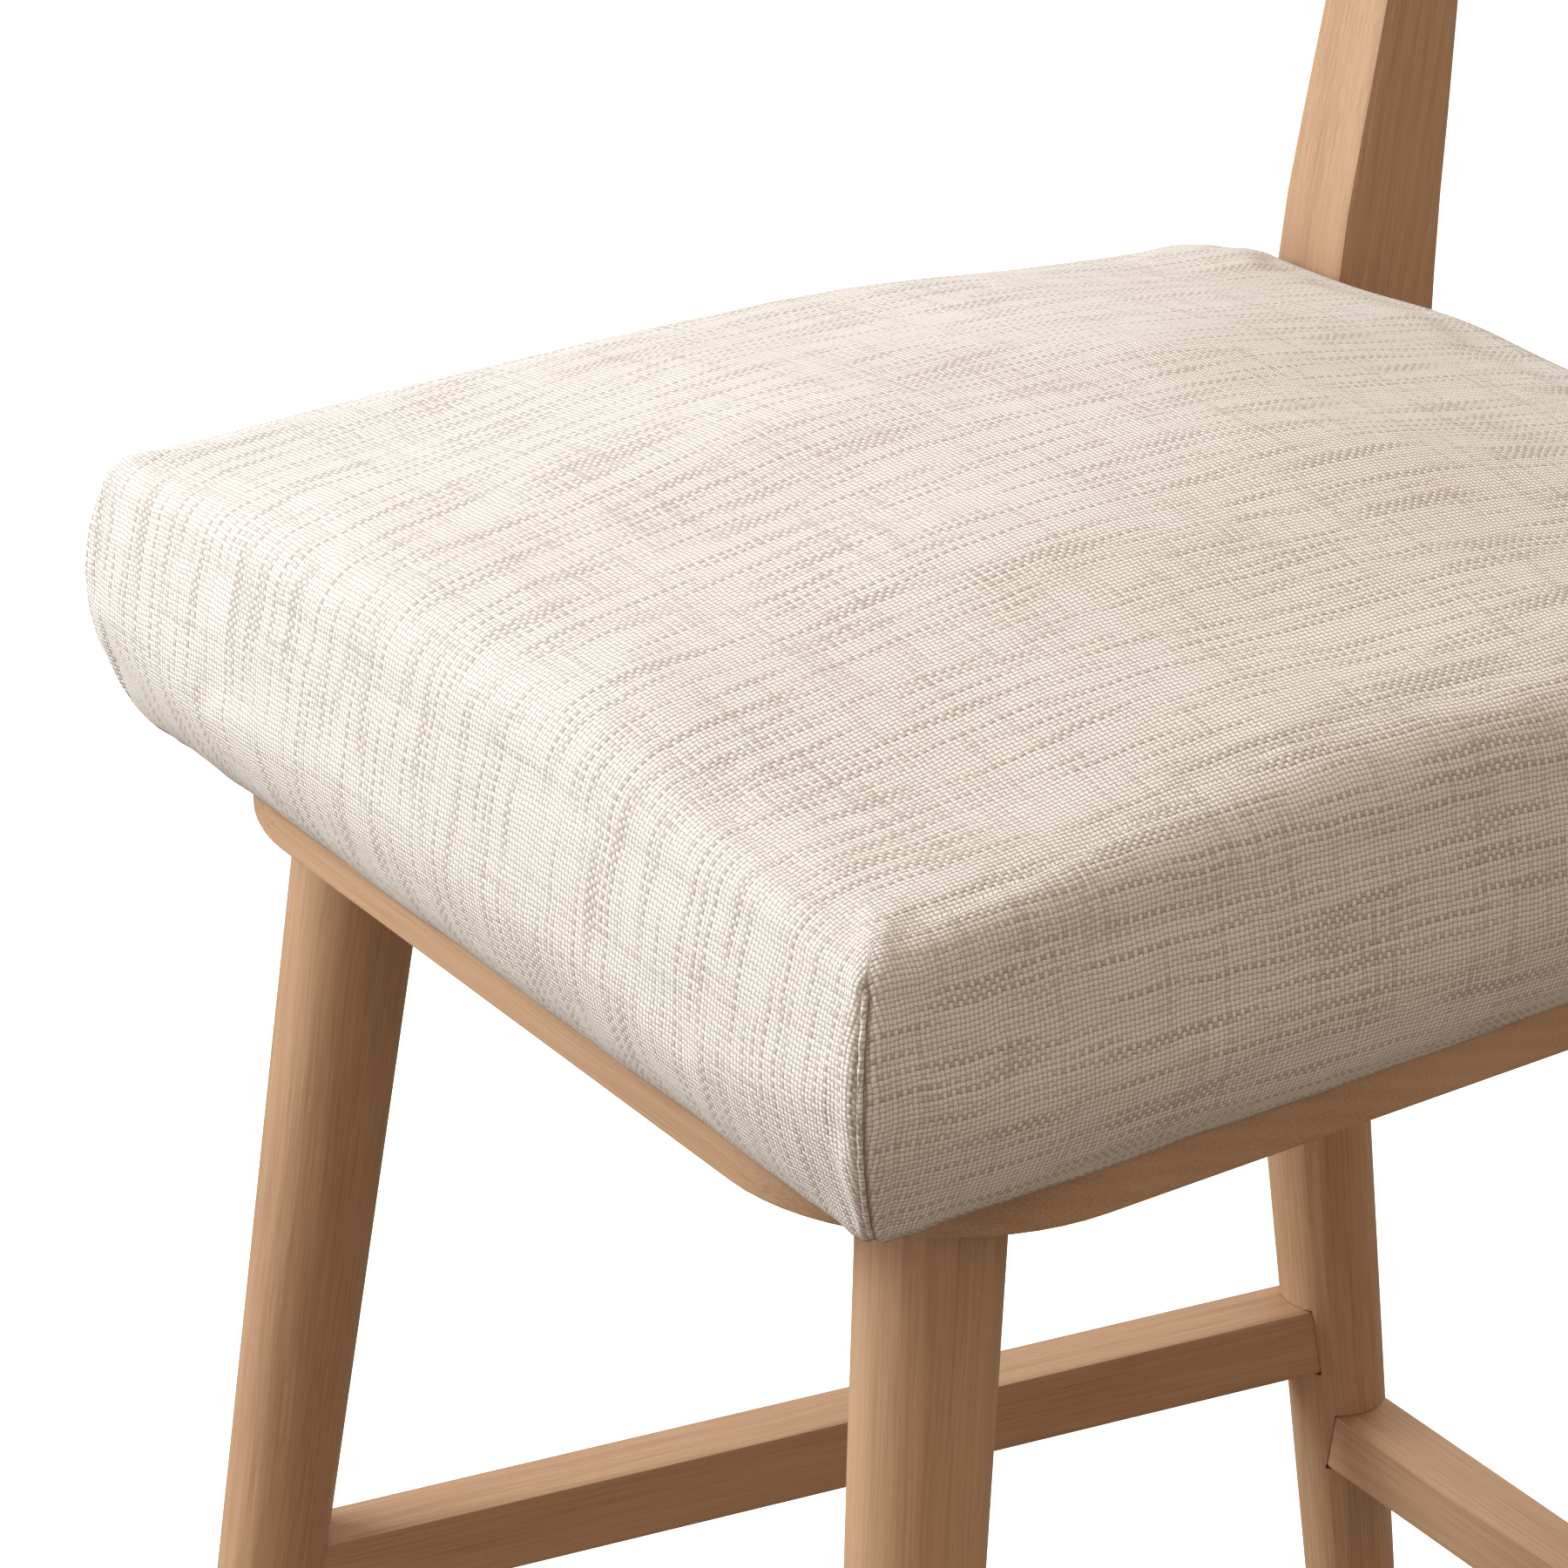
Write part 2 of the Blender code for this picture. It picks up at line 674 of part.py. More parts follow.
def bore(stool, name, targets, radius, low, high, place, direction):
    """A round hole through the targets, from low to high along a direction."""
    hole = stool.cutter(name, rod_mesh(name, radius, low, high, SMALL_STEPS), place, along(direction))
    for target in targets:
        subtract(target, hole)


def fix_posts(stool, posts, board):
    """Two screws go up through the board into the foot of each post."""
    up = Vector((0, 0, 1))
    seat_height = BOARD_UNDERSIDE + SCREW_HEAD_HEIGHT + FIT
    length = BOARD_TOP - seat_height + POST_SCREW_BITE
    post_middle = POST_FRONT + POST_DEPTH_FOOT / 2
    for side, place, post, _ in posts:
        for number, sign in (("outer", 1), ("inner", -1)):
            out = math.copysign(1, place.x) * sign * POST_SCREW_SPACING / 2
            at = Vector((place.x + out, post_middle, seat_height))
            name = f"post_screw_{side}_{number}"
            sizes = (SCREW_RADIUS, SCREW_HEAD_RADIUS, SCREW_HEAD_HEIGHT, length)
            add_fixing(stool, name, sizes, at, up)
            shank = SCREW_RADIUS + FIT
            bore(stool, f"{name}_hole", (board, post), shank, -FIT, length + FIT, at, up)
            recess = SCREW_HEAD_RADIUS + FIT
            bore(stool, f"{name}_recess", (board,), recess, -BOARD_THICKNESS, FIT, at, up)


def fix_cushion(stool, board, dust, pan, pan_high):
    """Four bolts go up through the board into tee nuts in the cushion's plywood pan."""
    up = Vector((0, 0, 1))
    seat_height = BOARD_UNDERSIDE + BOLT_HEAD_HEIGHT + FIT
    length = pan_high - BOLT_SETBACK - seat_height
    barrel = PAN_THICKNESS - BOLT_SETBACK
    for row, y in (("front", BOLT_FRONT_Y), ("back", BOLT_BACK_Y)):
        for side, sign in (("left", -1), ("right", 1)):
            at = Vector((sign * BOLT_X, y, seat_height))
            name = f"seat_bolt_{row}_{side}"
            sizes = (BOLT_RADIUS, BOLT_HEAD_RADIUS, BOLT_HEAD_HEIGHT, length)
            add_fixing(stool, name, sizes, at, up)
            shank, recess = BOLT_RADIUS + FIT, BOLT_HEAD_RADIUS + FIT
            bore(stool, f"{name}_hole", (board, dust), shank, -FIT, length, at, up)
            bore(stool, f"{name}_recess", (board,), recess, -BOARD_THICKNESS, FIT, at, up)
            nut_top = Vector((at.x, at.y, pan_high))
            nut_profile = [
                (0.0, 0.0),
                (NUT_FLANGE_RADIUS, 0.0),
                (NUT_FLANGE_RADIUS, -NUT_FLANGE_HEIGHT),
                (NUT_RADIUS, -NUT_FLANGE_HEIGHT),
                (NUT_RADIUS, -barrel),
                (0.0, -barrel),
            ]
            nut_name = f"tee_nut_{row}_{side}"
            nut = stool.part(nut_name, profile_mesh(nut_name, nut_profile), STEEL, nut_top)
            turn_profile(nut, SMALL_STEPS)
            bore(stool, f"{nut_name}_bore", (nut,), shank, -PAN_THICKNESS, NUT_RADIUS, nut_top, up)
            around = NUT_RADIUS + FIT
            bore(stool, f"{nut_name}_seat", (pan,), around, -2 * PAN_THICKNESS, FIT, nut_top, up)
            flange = NUT_FLANGE_RADIUS + FIT
            low = -NUT_FLANGE_HEIGHT - FIT
            bore(stool, f"{nut_name}_flange", (pan,), flange, low, PAN_THICKNESS, nut_top, up)


def fix_crest(stool, posts, rail, centre, up, forward):
    """Two screws go forwards through each post into the rail, under wooden plugs."""
    height = centre.z - BOARD_TOP - FIT
    depth = post_depth_at(height) * math.cos(POST_LEAN)
    head_seat = depth - CREST_SCREW_SETBACK
    length = head_seat + CREST_SCREW_BITE
    plug_low = PLUG_RECESS - CREST_SCREW_SETBACK
    for side, place, post, _ in posts:
        for row, sign in (("upper", 1), ("lower", -1)):
            at = centre + up * sign * CREST_SCREW_SPACING / 2 - forward * head_seat
            at.x = place.x
            name = f"crest_screw_{side}_{row}"
            sizes = (SCREW_RADIUS, SCREW_HEAD_RADIUS, SCREW_HEAD_HEIGHT, length)
            add_fixing(stool, name, sizes, at, forward)
            shank, recess = SCREW_RADIUS + FIT, SCREW_HEAD_RADIUS + FIT
            end = length + FIT
            bore(stool, f"{name}_hole", (post, rail), shank, -FIT, end, at, forward)
            bore(stool, f"{name}_recess", (post,), recess, -2 * depth, FIT, at, forward)
            plug_name = f"crest_plug_{side}_{row}"
            plug = rod_mesh(plug_name, SCREW_HEAD_RADIUS, plug_low, plug_low + PLUG_THICKNESS)
            stool.part(plug_name, plug, WOOD, at, along(forward))


def centre_on_origin(stool):
    """Moves the root so that the whole stool's box is centred over the origin."""
    bpy.context.view_layer.update()
    graph = bpy.context.evaluated_depsgraph_get()
    along_y = []
    for obj in stool.parts.objects:
        if obj.type != "MESH":
            continue
        evaluated = obj.evaluated_get(graph)
        mesh = evaluated.to_mesh()
        along_y += [(evaluated.matrix_world @ vertex.co).y for vertex in mesh.vertices]
        evaluated.to_mesh_clear()
    stool.root.location.y = -(min(along_y) + max(along_y)) / 2


def shade(stool):
    for obj in stool.parts.objects:
        if obj.type == "MESH":
            obj.data.shade_smooth()
            obj.data.set_sharp_from_angle(angle=math.radians(30))


def main():
    clear_scene()
    stool = Stool()
    legs = all_legs()
    board = build_board(stool, legs)
    build_base(stool, legs)
    pan, dust, pan_high = build_padded_seat(stool)
    posts = build_posts(stool)
    rail, centre, up, forward = build_crest(stool, posts)
    fix_posts(stool, posts, board)
    fix_cushion(stool, board, dust, pan, pan_high)
    fix_crest(stool, posts, rail, centre, up, forward)
    shade(stool)
    centre_on_origin(stool)


main()
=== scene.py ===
"""Finishes, padded seat, studio and camera for an upholstered counter stool with a wooden frame."""

import logging
import math
from dataclasses import dataclass, field
from enum import Enum
from typing import Any, Optional, Union

import bpy
import numpy as np
from mathutils import Matrix, Vector


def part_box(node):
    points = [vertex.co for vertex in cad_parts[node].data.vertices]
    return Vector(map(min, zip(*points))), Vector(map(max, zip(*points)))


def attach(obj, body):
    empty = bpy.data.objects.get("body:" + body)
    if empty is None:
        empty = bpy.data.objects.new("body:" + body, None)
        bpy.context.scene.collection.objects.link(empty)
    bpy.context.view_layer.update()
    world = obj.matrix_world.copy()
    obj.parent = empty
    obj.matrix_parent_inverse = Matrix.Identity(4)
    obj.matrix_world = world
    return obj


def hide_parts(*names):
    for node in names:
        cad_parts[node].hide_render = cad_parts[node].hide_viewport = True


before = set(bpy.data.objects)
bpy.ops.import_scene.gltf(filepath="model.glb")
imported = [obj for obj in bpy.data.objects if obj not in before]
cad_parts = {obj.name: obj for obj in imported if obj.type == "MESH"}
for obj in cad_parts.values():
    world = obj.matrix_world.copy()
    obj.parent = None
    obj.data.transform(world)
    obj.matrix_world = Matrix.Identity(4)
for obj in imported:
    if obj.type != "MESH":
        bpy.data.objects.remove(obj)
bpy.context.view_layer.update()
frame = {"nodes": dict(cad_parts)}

BODY = "root"
LOG = logging.getLogger("stool")

TINY = 1e-15
FULL_TURN = 2 * math.pi

Colour = tuple[float, float, float]
Triple = tuple[float, float, float]
Band = tuple[float, float]
Number = Union[int, float]


class Panel(Enum):
    """The cover's four upright panels, in order round the seat, anticlockwise from above."""

    FRONT = 0
    RIGHT = 1
    BACK = 2
    LEFT = 3


def add_object(name: str, data: Any) -> bpy.types.Object:
    """Puts a new object in the scene.

    Args:
        name: its name.
        data: its mesh, curve, lamp or camera.

    Returns:
        The object.
    """
    made = bpy.data.objects.new(name, data)
    bpy.context.scene.collection.objects.link(made)
    return made


# Shader tools


class Value:
    """One output of a shader node, with arithmetic that adds Math nodes."""

    def __init__(self, shader: "Shader", socket: Any) -> None:
        """Keeps the shader that the output belongs to, and the socket itself."""
        self.shader = shader
        self.socket = socket

    def math(self, operation: str, *others: "Operand", swap: bool = False) -> "Value":
        """Joins this value and others in one Math node.

        Args:
            operation: the Math node's operation.
            others: values or numbers for its further inputs.
            swap: puts this value second, for reflected operators.

        Returns:
            The node's result.
        """
        inputs = [self, *others]
        if swap:
            inputs.reverse()
        return self.shader.node("ShaderNodeMath", {"operation": operation}, dict(enumerate(inputs)))

    def __add__(self, other: "Operand") -> "Value":
        """This value plus another."""
        return self.math("ADD", other)

    __radd__ = __add__

    def __sub__(self, other: "Operand") -> "Value":
        """This value less another."""
        return self.math("SUBTRACT", other)

    def __rsub__(self, other: "Operand") -> "Value":
        """Another value less this one."""
        return self.math("SUBTRACT", other, swap=True)

    def __mul__(self, other: "Operand") -> "Value":
        """This value times another."""
        return self.math("MULTIPLY", other)

    __rmul__ = __mul__

    def __truediv__(self, other: "Operand") -> "Value":
        """This value over another."""
        return self.math("DIVIDE", other)

    def fraction(self) -> "Value":
        """What is left of this value past its whole number."""
        return self.math("FRACT")

    def whole(self) -> "Value":
        """This value rounded down."""
        return self.math("FLOOR")

    def sine(self) -> "Value":
        """The sine of this value, in radians."""
        return self.math("SINE")

    def above(self, low: float, high: float) -> "Value":
        """A soft step from 0 at low to 1 at high."""
        settings = {"interpolation_type": "SMOOTHSTEP"}
        return self.shader.node("ShaderNodeMapRange", settings, {0: self, 1: low, 2: high})


Operand = Union[Value, Number]


class Shader:
    """A material or a world under construction."""

    def __init__(self, owner: Any) -> None:
        """Starts with an empty node tree.

        Args:
            owner: a new material or world.
        """
        self.owner = owner
        owner.use_nodes = True
        self.tree = owner.node_tree
        self.tree.nodes.clear()

    @classmethod
    def material(cls, name: str) -> "Shader":
        """A new material of that name."""
        return cls(bpy.data.materials.new(name))

    def node(
        self,
        kind: str,
        settings: Optional[dict[str, Any]] = None,
        inputs: Optional[dict[Union[int, str], Any]] = None,
        output: Union[int, str] = 0,
    ) -> Value:
        """Adds a node.

        Args:
            kind: the node's type.
            settings: its properties, set before its sockets.
            inputs: a value or a link for each socket, by place or name.
            output: which of its outputs is wanted.

        Returns:
            That output.
        """
        made = self.tree.nodes.new(kind)
        for name, setting in (settings or {}).items():
            setattr(made, name, setting)
        for key, given in (inputs or {}).items():
            if isinstance(given, Value):
                self.tree.links.new(given.socket, made.inputs[key])
            else:
                made.inputs[key].default_value = given
        return Value(self, made.outputs[output])

    def split(self, vector: Value) -> list[Value]:
        """The three parts of a vector."""
        parts = self.node("ShaderNodeSeparateXYZ", inputs={0: vector})
        return [Value(self, output) for output in parts.socket.node.outputs]

    def join(self, x: Operand, y: Operand, z: Operand) -> Value:
        """A vector from three parts."""
        return self.node("ShaderNodeCombineXYZ", inputs={0: x, 1: y, 2: z})

    def dot(self, vector: Value, direction: Vector) -> Value:
        """How far a vector reaches along a fixed direction."""
        inputs = {0: vector, 1: tuple(direction)}
        return self.node("ShaderNodeVectorMath", {"operation": "DOT_PRODUCT"}, inputs, "Value")

    def noise(self, vector: Value, scale: float, detail: float = 2.0, rough: float = 0.5) -> Value:
        """Soft noise about 0.5."""
        inputs = {"Vector": vector, "Scale": scale, "Detail": detail, "Roughness": rough}
        return self.node("ShaderNodeTexNoise", inputs=inputs)

    def blend(self, factor: Operand, first: Any, second: Any) -> Value:
        """A colour between two, as far as the factor says."""
        inputs = {0: factor, 6: self.colour(first), 7: self.colour(second)}
        return self.node("ShaderNodeMix", {"data_type": "RGBA"}, inputs, 2)

    def colour(self, given: Any) -> Any:
        """A fixed colour with its alpha added, or a link as it is."""
        return given if isinstance(given, Value) else (*given, 1.0)

    def bump(self, height: Value, distance: float, strength: float = 1.0) -> Value:
        """A normal from a height of 0 to 1 that stands for a distance in metres."""
        inputs = {"Strength": strength, "Distance": distance, "Height": height}
        return self.node("ShaderNodeBump", inputs=inputs)

    def finish(
        self,
        colour: Any,
        roughness: Operand,
        normal: Optional[Value] = None,
        fixed: Optional[dict[str, float]] = None,
    ) -> bpy.types.Material:
        """Ends the tree in a Principled shader.

        Args:
            colour: base colour, fixed or linked.
            roughness: roughness, fixed or linked.
            normal: bumped normal, if any.
            fixed: other sockets by name, each with one number.

        Returns:
            The finished material.
        """
        inputs: dict[Union[int, str], Any] = {
            "Base Color": self.colour(colour),
            "Roughness": roughness,
            **(fixed or {}),
        }
        if normal is not None:
            inputs["Normal"] = normal
        return self.close(inputs)

    def close(
        self,
        inputs: dict[Union[int, str], Any],
        kind: str = "ShaderNodeBsdfPrincipled",
        end: str = "ShaderNodeOutputMaterial",
    ) -> Any:
        """Ends the tree.

        Args:
            inputs: what goes into the last shader.
            kind: that shader's type.
            end: the output node's type.

        Returns:
            The material or the world.
        """
        surface = self.node(kind, inputs=inputs)
        last = self.tree.nodes.new(end)
        self.tree.links.new(surface.socket, last.inputs["Surface"])
        return self.owner


# Finishes


@dataclass(frozen=True)
class WoodFinish:
    """Straight-grained light wood under a matt lacquer."""

    light: Colour = (0.590, 0.388, 0.240)
    middle: Colour = (0.480, 0.298, 0.174)
    dark: Colour = (0.330, 0.190, 0.108)
    fibre_width: float = 0.0009
    fibre_length: float = 0.060
    ring_width: float = 0.0080
    ring_slant: float = 0.6
    ring_sway: float = 0.012
    pore_width: float = 0.0004
    pore_length: float = 0.0045
    pore_band: Band = (0.66, 0.78)
    pore_strength: float = 0.42
    sway_scale: float = 7.0
    sway_width: float = 0.005
    cloud_along: float = 3.0
    cloud_across: float = 14.0
    fibre_share: float = 0.66
    ring_share: float = 0.06
    cloud_share: float = 0.46
    tone_cut: float = 0.10
    middle_band: Band = (0.20, 0.56)
    light_band: Band = (0.44, 0.84)
    roughness: float = 0.50
    fibre_roughness: float = 0.12
    pore_roughness: float = 0.06
    fibre_height: float = 0.55
    ring_height: float = 0.10
    pore_depth: float = 0.35
    relief: float = 0.00012
    relief_strength: float = 0.55
    lacquer: float = 0.12
    lacquer_roughness: float = 0.35
    piece_shift: float = 1.37

    def material(self, name: str, grain: Vector, seed: int) -> bpy.types.Material:
        """Makes the wood for one piece.

        Args:
            name: the material's name.
            grain: the direction that its grain runs in.
            seed: a number that sets it apart from its neighbours.

        Returns:
            The material.
        """
        shader = Shader.material(name)
        place = shader.node("ShaderNodeTexCoord", output="Object")
        along_dir = grain.normalized()
        first_dir = along_dir.orthogonal().normalized()
        second_dir = along_dir.cross(first_dir)
        shift = self.piece_shift * seed
        along = shader.dot(place, along_dir) + shift
        first = shader.dot(place, first_dir) + shift
        second = shader.dot(place, second_dir) - shift
        sway = shader.noise(shader.join(along, first, second), self.sway_scale) - 0.5
        across = first + sway * self.sway_width
        fibre_at = shader.join(
            along / self.fibre_length, across / self.fibre_width, second / self.fibre_width
        )
        fibre = shader.noise(fibre_at, 1.0, 4.0, 0.65)
        pore_at = shader.join(
            along / self.pore_length, across / self.pore_width, second / self.pore_width
        )
        pore = shader.noise(pore_at, 1.0, 1.0).above(*self.pore_band)
        ring_at = across + second * self.ring_slant + sway * self.ring_sway
        rings = (ring_at * (2 * math.pi / self.ring_width)).sine() * 0.5 + 0.5
        cloud_at = shader.join(
            along * self.cloud_along, across * self.cloud_across, second * self.cloud_across
        )
        cloud = shader.noise(cloud_at, 1.0, 3.0)
        tone = fibre * self.fibre_share + rings * self.ring_share + cloud * self.cloud_share
        tone = tone - self.tone_cut
        deep = shader.blend(tone.above(*self.middle_band), self.dark, self.middle)
        colour = shader.blend(tone.above(*self.light_band), deep, self.light)
        colour = shader.blend(pore * self.pore_strength, colour, self.dark)
        roughness = self.roughness + fibre * self.fibre_roughness - pore * self.pore_roughness
        height = fibre * self.fibre_height + rings * self.ring_height - pore * self.pore_depth
        normal = shader.bump(height, self.relief, self.relief_strength)
        lacquer = {"Coat Weight": self.lacquer, "Coat Roughness": self.lacquer_roughness}
        return shader.finish(colour, roughness, normal, lacquer)


@dataclass(frozen=True)
class LinenFinish:
    """A slubby plain weave, drawn from the cloth's own place on the roll."""

    thread: float = 0.00165
    light: Colour = (0.890, 0.865, 0.840)
    middle: Colour = (0.800, 0.760, 0.715)
    # painted shade: the dark colour laid between the threads, where they dip
    hollow_shade: Colour = (0.330, 0.280, 0.235)
    slub: Colour = (0.440, 0.380, 0.325)
    # painted shade: the dark colour laid into the corner seams' grooves
    seam: Colour = (0.300, 0.235, 0.185)
    wander: float = 1.5
    warp_wander_scale: float = 55.0
    weft_wander_scale: float = 71.0
    first_row: float = 4000.0
    slub_scale: float = 16.0
    warp_slub_step: float = 0.731
    weft_slub_step: float = 0.693
    weft_slub_place: float = 7.0
    warp_slub_band: Band = (0.47, 0.64)
    weft_slub_band: Band = (0.52, 0.70)
    warp_slub_share: float = 0.80
    weft_slub_share: float = 0.45
    slub_strength: float = 0.95
    patch_scale: float = 9.0
    patch_band: Band = (0.30, 0.72)
    hollow_shade_band: Band = (0.40, 1.0)
    hollow_shade_strength: float = 0.78
    seam_shade_strength: float = 0.85
    fuzz_scale: float = 2600.0
    fuzz_height: float = 0.12
    relief: float = 0.00042
    relief_strength: float = 0.85
    roughness: float = 0.86
    fuzz_roughness: float = 0.10

    def material(self, name: str) -> bpy.types.Material:
        """Makes the linen. Its cloth place and its painted seam shade come from the mesh's own
        attributes.

        Args:
            name: the material's name.

        Returns:
            The material.
        """
        shader = Shader.material(name)
        cloth = shader.node("ShaderNodeAttribute", {"attribute_name": "cloth"}, output="Vector")
        # painted shade along the corner seams, stored on the mesh
        seam = shader.node("ShaderNodeAttribute", {"attribute_name": "seam"}, output="Fac")
        warp_wander = shader.noise(cloth, self.warp_wander_scale) - 0.5
        weft_wander = shader.noise(cloth, self.weft_wander_scale) - 0.5
        side, fore, _ = shader.split(cloth)
        side = side + warp_wander * (self.wander * self.thread)
        fore = fore + weft_wander * (self.wander * self.thread)
        warp_at = side / self.thread + self.first_row
        weft_at = fore / self.thread + self.first_row
        warp_row, weft_row = warp_at.whole(), weft_at.whole()
        warp_round = (warp_at.fraction() * math.pi).sine()
        weft_round = (weft_at.fraction() * math.pi).sine()
        over = ((warp_row + weft_row) * 0.5).fraction() * 2.0
        warp_top = warp_round * (weft_round * 0.50 + 0.50)
        weft_top = weft_round * (warp_round * 0.50 + 0.50)
        height = warp_top * over + weft_top * (1 - over)
        warp_slub_at = shader.join(warp_row * self.warp_slub_step, fore * self.slub_scale, 0.0)
        weft_slub_at = shader.join(
            side * self.slub_scale, weft_row * self.weft_slub_step, self.weft_slub_place
        )
        warp_slub, weft_slub = shader.noise(warp_slub_at, 1.0), shader.noise(weft_slub_at, 1.0)
        warp_dark = warp_slub.above(*self.warp_slub_band) * over
        weft_dark = weft_slub.above(*self.weft_slub_band) * (1 - over)
        slubs = warp_dark * self.warp_slub_share + weft_dark * self.weft_slub_share
        patch = shader.noise(cloth, self.patch_scale, 3.0).above(*self.patch_band)
        # painted shade where the threads dip, strongest between them
        hollow_shade = (1 - height).above(*self.hollow_shade_band)
        colour = shader.blend(patch * 0.6 + 0.4, self.middle, self.light)
        colour = shader.blend(slubs * self.slub_strength, colour, self.slub)
        colour = shader.blend(hollow_shade * self.hollow_shade_strength, colour, self.hollow_shade)
        # painted shade in the seam grooves
        colour = shader.blend(seam * self.seam_shade_strength, colour, self.seam)
        relief = height * (warp_slub * over + weft_slub * (1 - over) + 0.55)
        fuzz = shader.noise(cloth, self.fuzz_scale)
        relief = relief + fuzz * self.fuzz_height
        normal = shader.bump(relief, self.relief, self.relief_strength)
        roughness = self.roughness + fuzz * self.fuzz_roughness
        nap = {"Sheen Weight": 0.22, "Sheen Roughness": 0.55, "Specular IOR Level": 0.22}
        return shader.finish(colour, roughness, normal, nap)


@dataclass(frozen=True)
class SpeckledFinish:
    """A plain stuff with slight mottling: plywood, foam, lining, nylon or steel."""

    colour: Colour
    roughness: float
    speck: float
    depth: float
    metallic: float = 0.0
    stretch: Triple = (1.0, 1.0, 1.0)
    mottle_band: Band = (0.30, 0.66)
    darkest: float = 0.62
    relief_strength: float = 0.6
    roughness_range: float = 0.25

    def material(self, name: str) -> bpy.types.Material:
        """Makes the mottled material.

        Args:
            name: the material's name.

        Returns:
            The material.
        """
        shader = Shader.material(name)
        x, y, z = shader.split(shader.node("ShaderNodeTexCoord", output="Object"))
        wide, deep, tall = self.stretch
        place = shader.join(x * (1 / wide), y * (1 / deep), z * (1 / tall))
        mottle = shader.noise(place, 1.0 / self.speck, 4.0, 0.6)
        darker = tuple(part * self.darkest for part in self.colour)
        colour = shader.blend(mottle.above(*self.mottle_band), darker, self.colour)
        rough = self.roughness + (mottle - 0.5) * self.roughness_range
        normal = shader.bump(mottle, self.depth, self.relief_strength)
        return shader.finish(colour, rough, normal, {"Metallic": self.metallic})


PLYWOOD = SpeckledFinish((0.66, 0.50, 0.33), 0.70, 0.0030, 0.0001, stretch=(12.0, 1.0, 1.0))
FOAM = SpeckledFinish((0.86, 0.80, 0.60), 0.95, 0.0016, 0.0006)
LINING = SpeckledFinish((0.06, 0.06, 0.06), 0.95, 0.0012, 0.0002)
NYLON = SpeckledFinish((0.16, 0.15, 0.14), 0.52, 0.0009, 0.00004)
STEEL = SpeckledFinish((0.62, 0.61, 0.58), 0.34, 0.0006, 0.00003, metallic=1.0)


# Wooden frame


@dataclass
class WoodenFrame:
    """The wood and hardware that the frame already holds: shading and finish for each piece."""

    nodes: dict[str, bpy.types.Object]
    wood: WoodFinish = field(default_factory=WoodFinish)
    crease: float = math.radians(32)
    weld_steps: float = 1e5

    def grain_of(self, name: str) -> Vector:
        """The way a piece's grain runs, from its name and its box.

        Args:
            name: the piece's name.

        Returns:
            A direction along the length of the timber that it was cut from.
        """
        if name.startswith(("leg_", "side_", "back_post")):
            return self.long_axis(name)
        if name.startswith("crest_plug"):
            return Vector((0, 0, 1))
        if name == "seat_board":
            return Vector((1, 0, 0))
        low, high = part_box(name)
        size = [high[i] - low[i] for i in range(3)]
        return Vector([float(i == size.index(max(size))) for i in range(3)])

    def long_axis(self, name: str) -> Vector:
        """The main direction of a piece's corners.

        Args:
            name: the piece's name.

        Returns:
            The direction that they are most spread out in.
        """
        points = np.array([vertex.co for vertex in self.nodes[name].data.vertices])
        _, _, axes = np.linalg.svd(points - points.mean(axis=0), full_matrices=False)
        return Vector(axes[0])

    def smooth(self, obj: bpy.types.Object) -> None:
        """Gives round pieces soft normals and leaves their true edges crisp.

        Args:
            obj: the piece, whose points stay as they are.
        """
        mesh = obj.data
        count = len(mesh.loops)
        corner_of = np.empty(count, np.int64)
        mesh.loops.foreach_get("vertex_index", corner_of)
        points = np.empty(len(mesh.vertices) * 3)
        mesh.vertices.foreach_get("co", points)
        keys = np.round(points.reshape(-1, 3) * self.weld_steps).astype(np.int64)
        _, shared = np.unique(keys, axis=0, return_inverse=True)
        shared = shared.reshape(-1)[corner_of]
        facing = np.empty((count, 3))
        for face in mesh.polygons:
            normal = np.array(face.normal) * face.area
            facing[face.loop_start : face.loop_start + face.loop_total] = normal
        unit = self.unit(facing)
        order = np.argsort(shared, kind="stable")
        starts = np.flatnonzero(np.diff(shared[order], prepend=-1))
        normals = np.empty((count, 3))
        limit = math.cos(self.crease)
        for begin, end in zip(starts, [*starts[1:], count]):
            group = order[begin:end]
            close = unit[group] @ unit[group].T > limit
            normals[group] = close.astype(float) @ facing[group]
        mesh.shade_smooth()
        mesh.normals_split_custom_set(self.unit(normals).tolist())

    @staticmethod
    def unit(rows: np.ndarray) -> np.ndarray:
        """The same directions, each one long."""
        return rows / np.maximum(np.linalg.norm(rows, axis=1, keepdims=True), TINY)

    def dress(self) -> None:
        """Gives each piece its material."""
        plain = {
            "seat_pan": PLYWOOD,
            "dust_cover": LINING,
            "glide": NYLON,
            **dict.fromkeys(("post_screw", "crest_screw", "seat_bolt", "tee_nut"), STEEL),
        }
        for seed, (name, obj) in enumerate(sorted(self.nodes.items())):
            finish = next((look for start, look in plain.items() if name.startswith(start)), None)
            if finish is not None:
                made = finish.material(f"{name}_finish")
            else:
                made = self.wood.material(f"{name}_wood", self.grain_of(name), seed)
            obj.data.materials.clear()
            obj.data.materials.append(made)
            self.smooth(obj)
            LOG.info("dressed %s", name)


# Padded seat


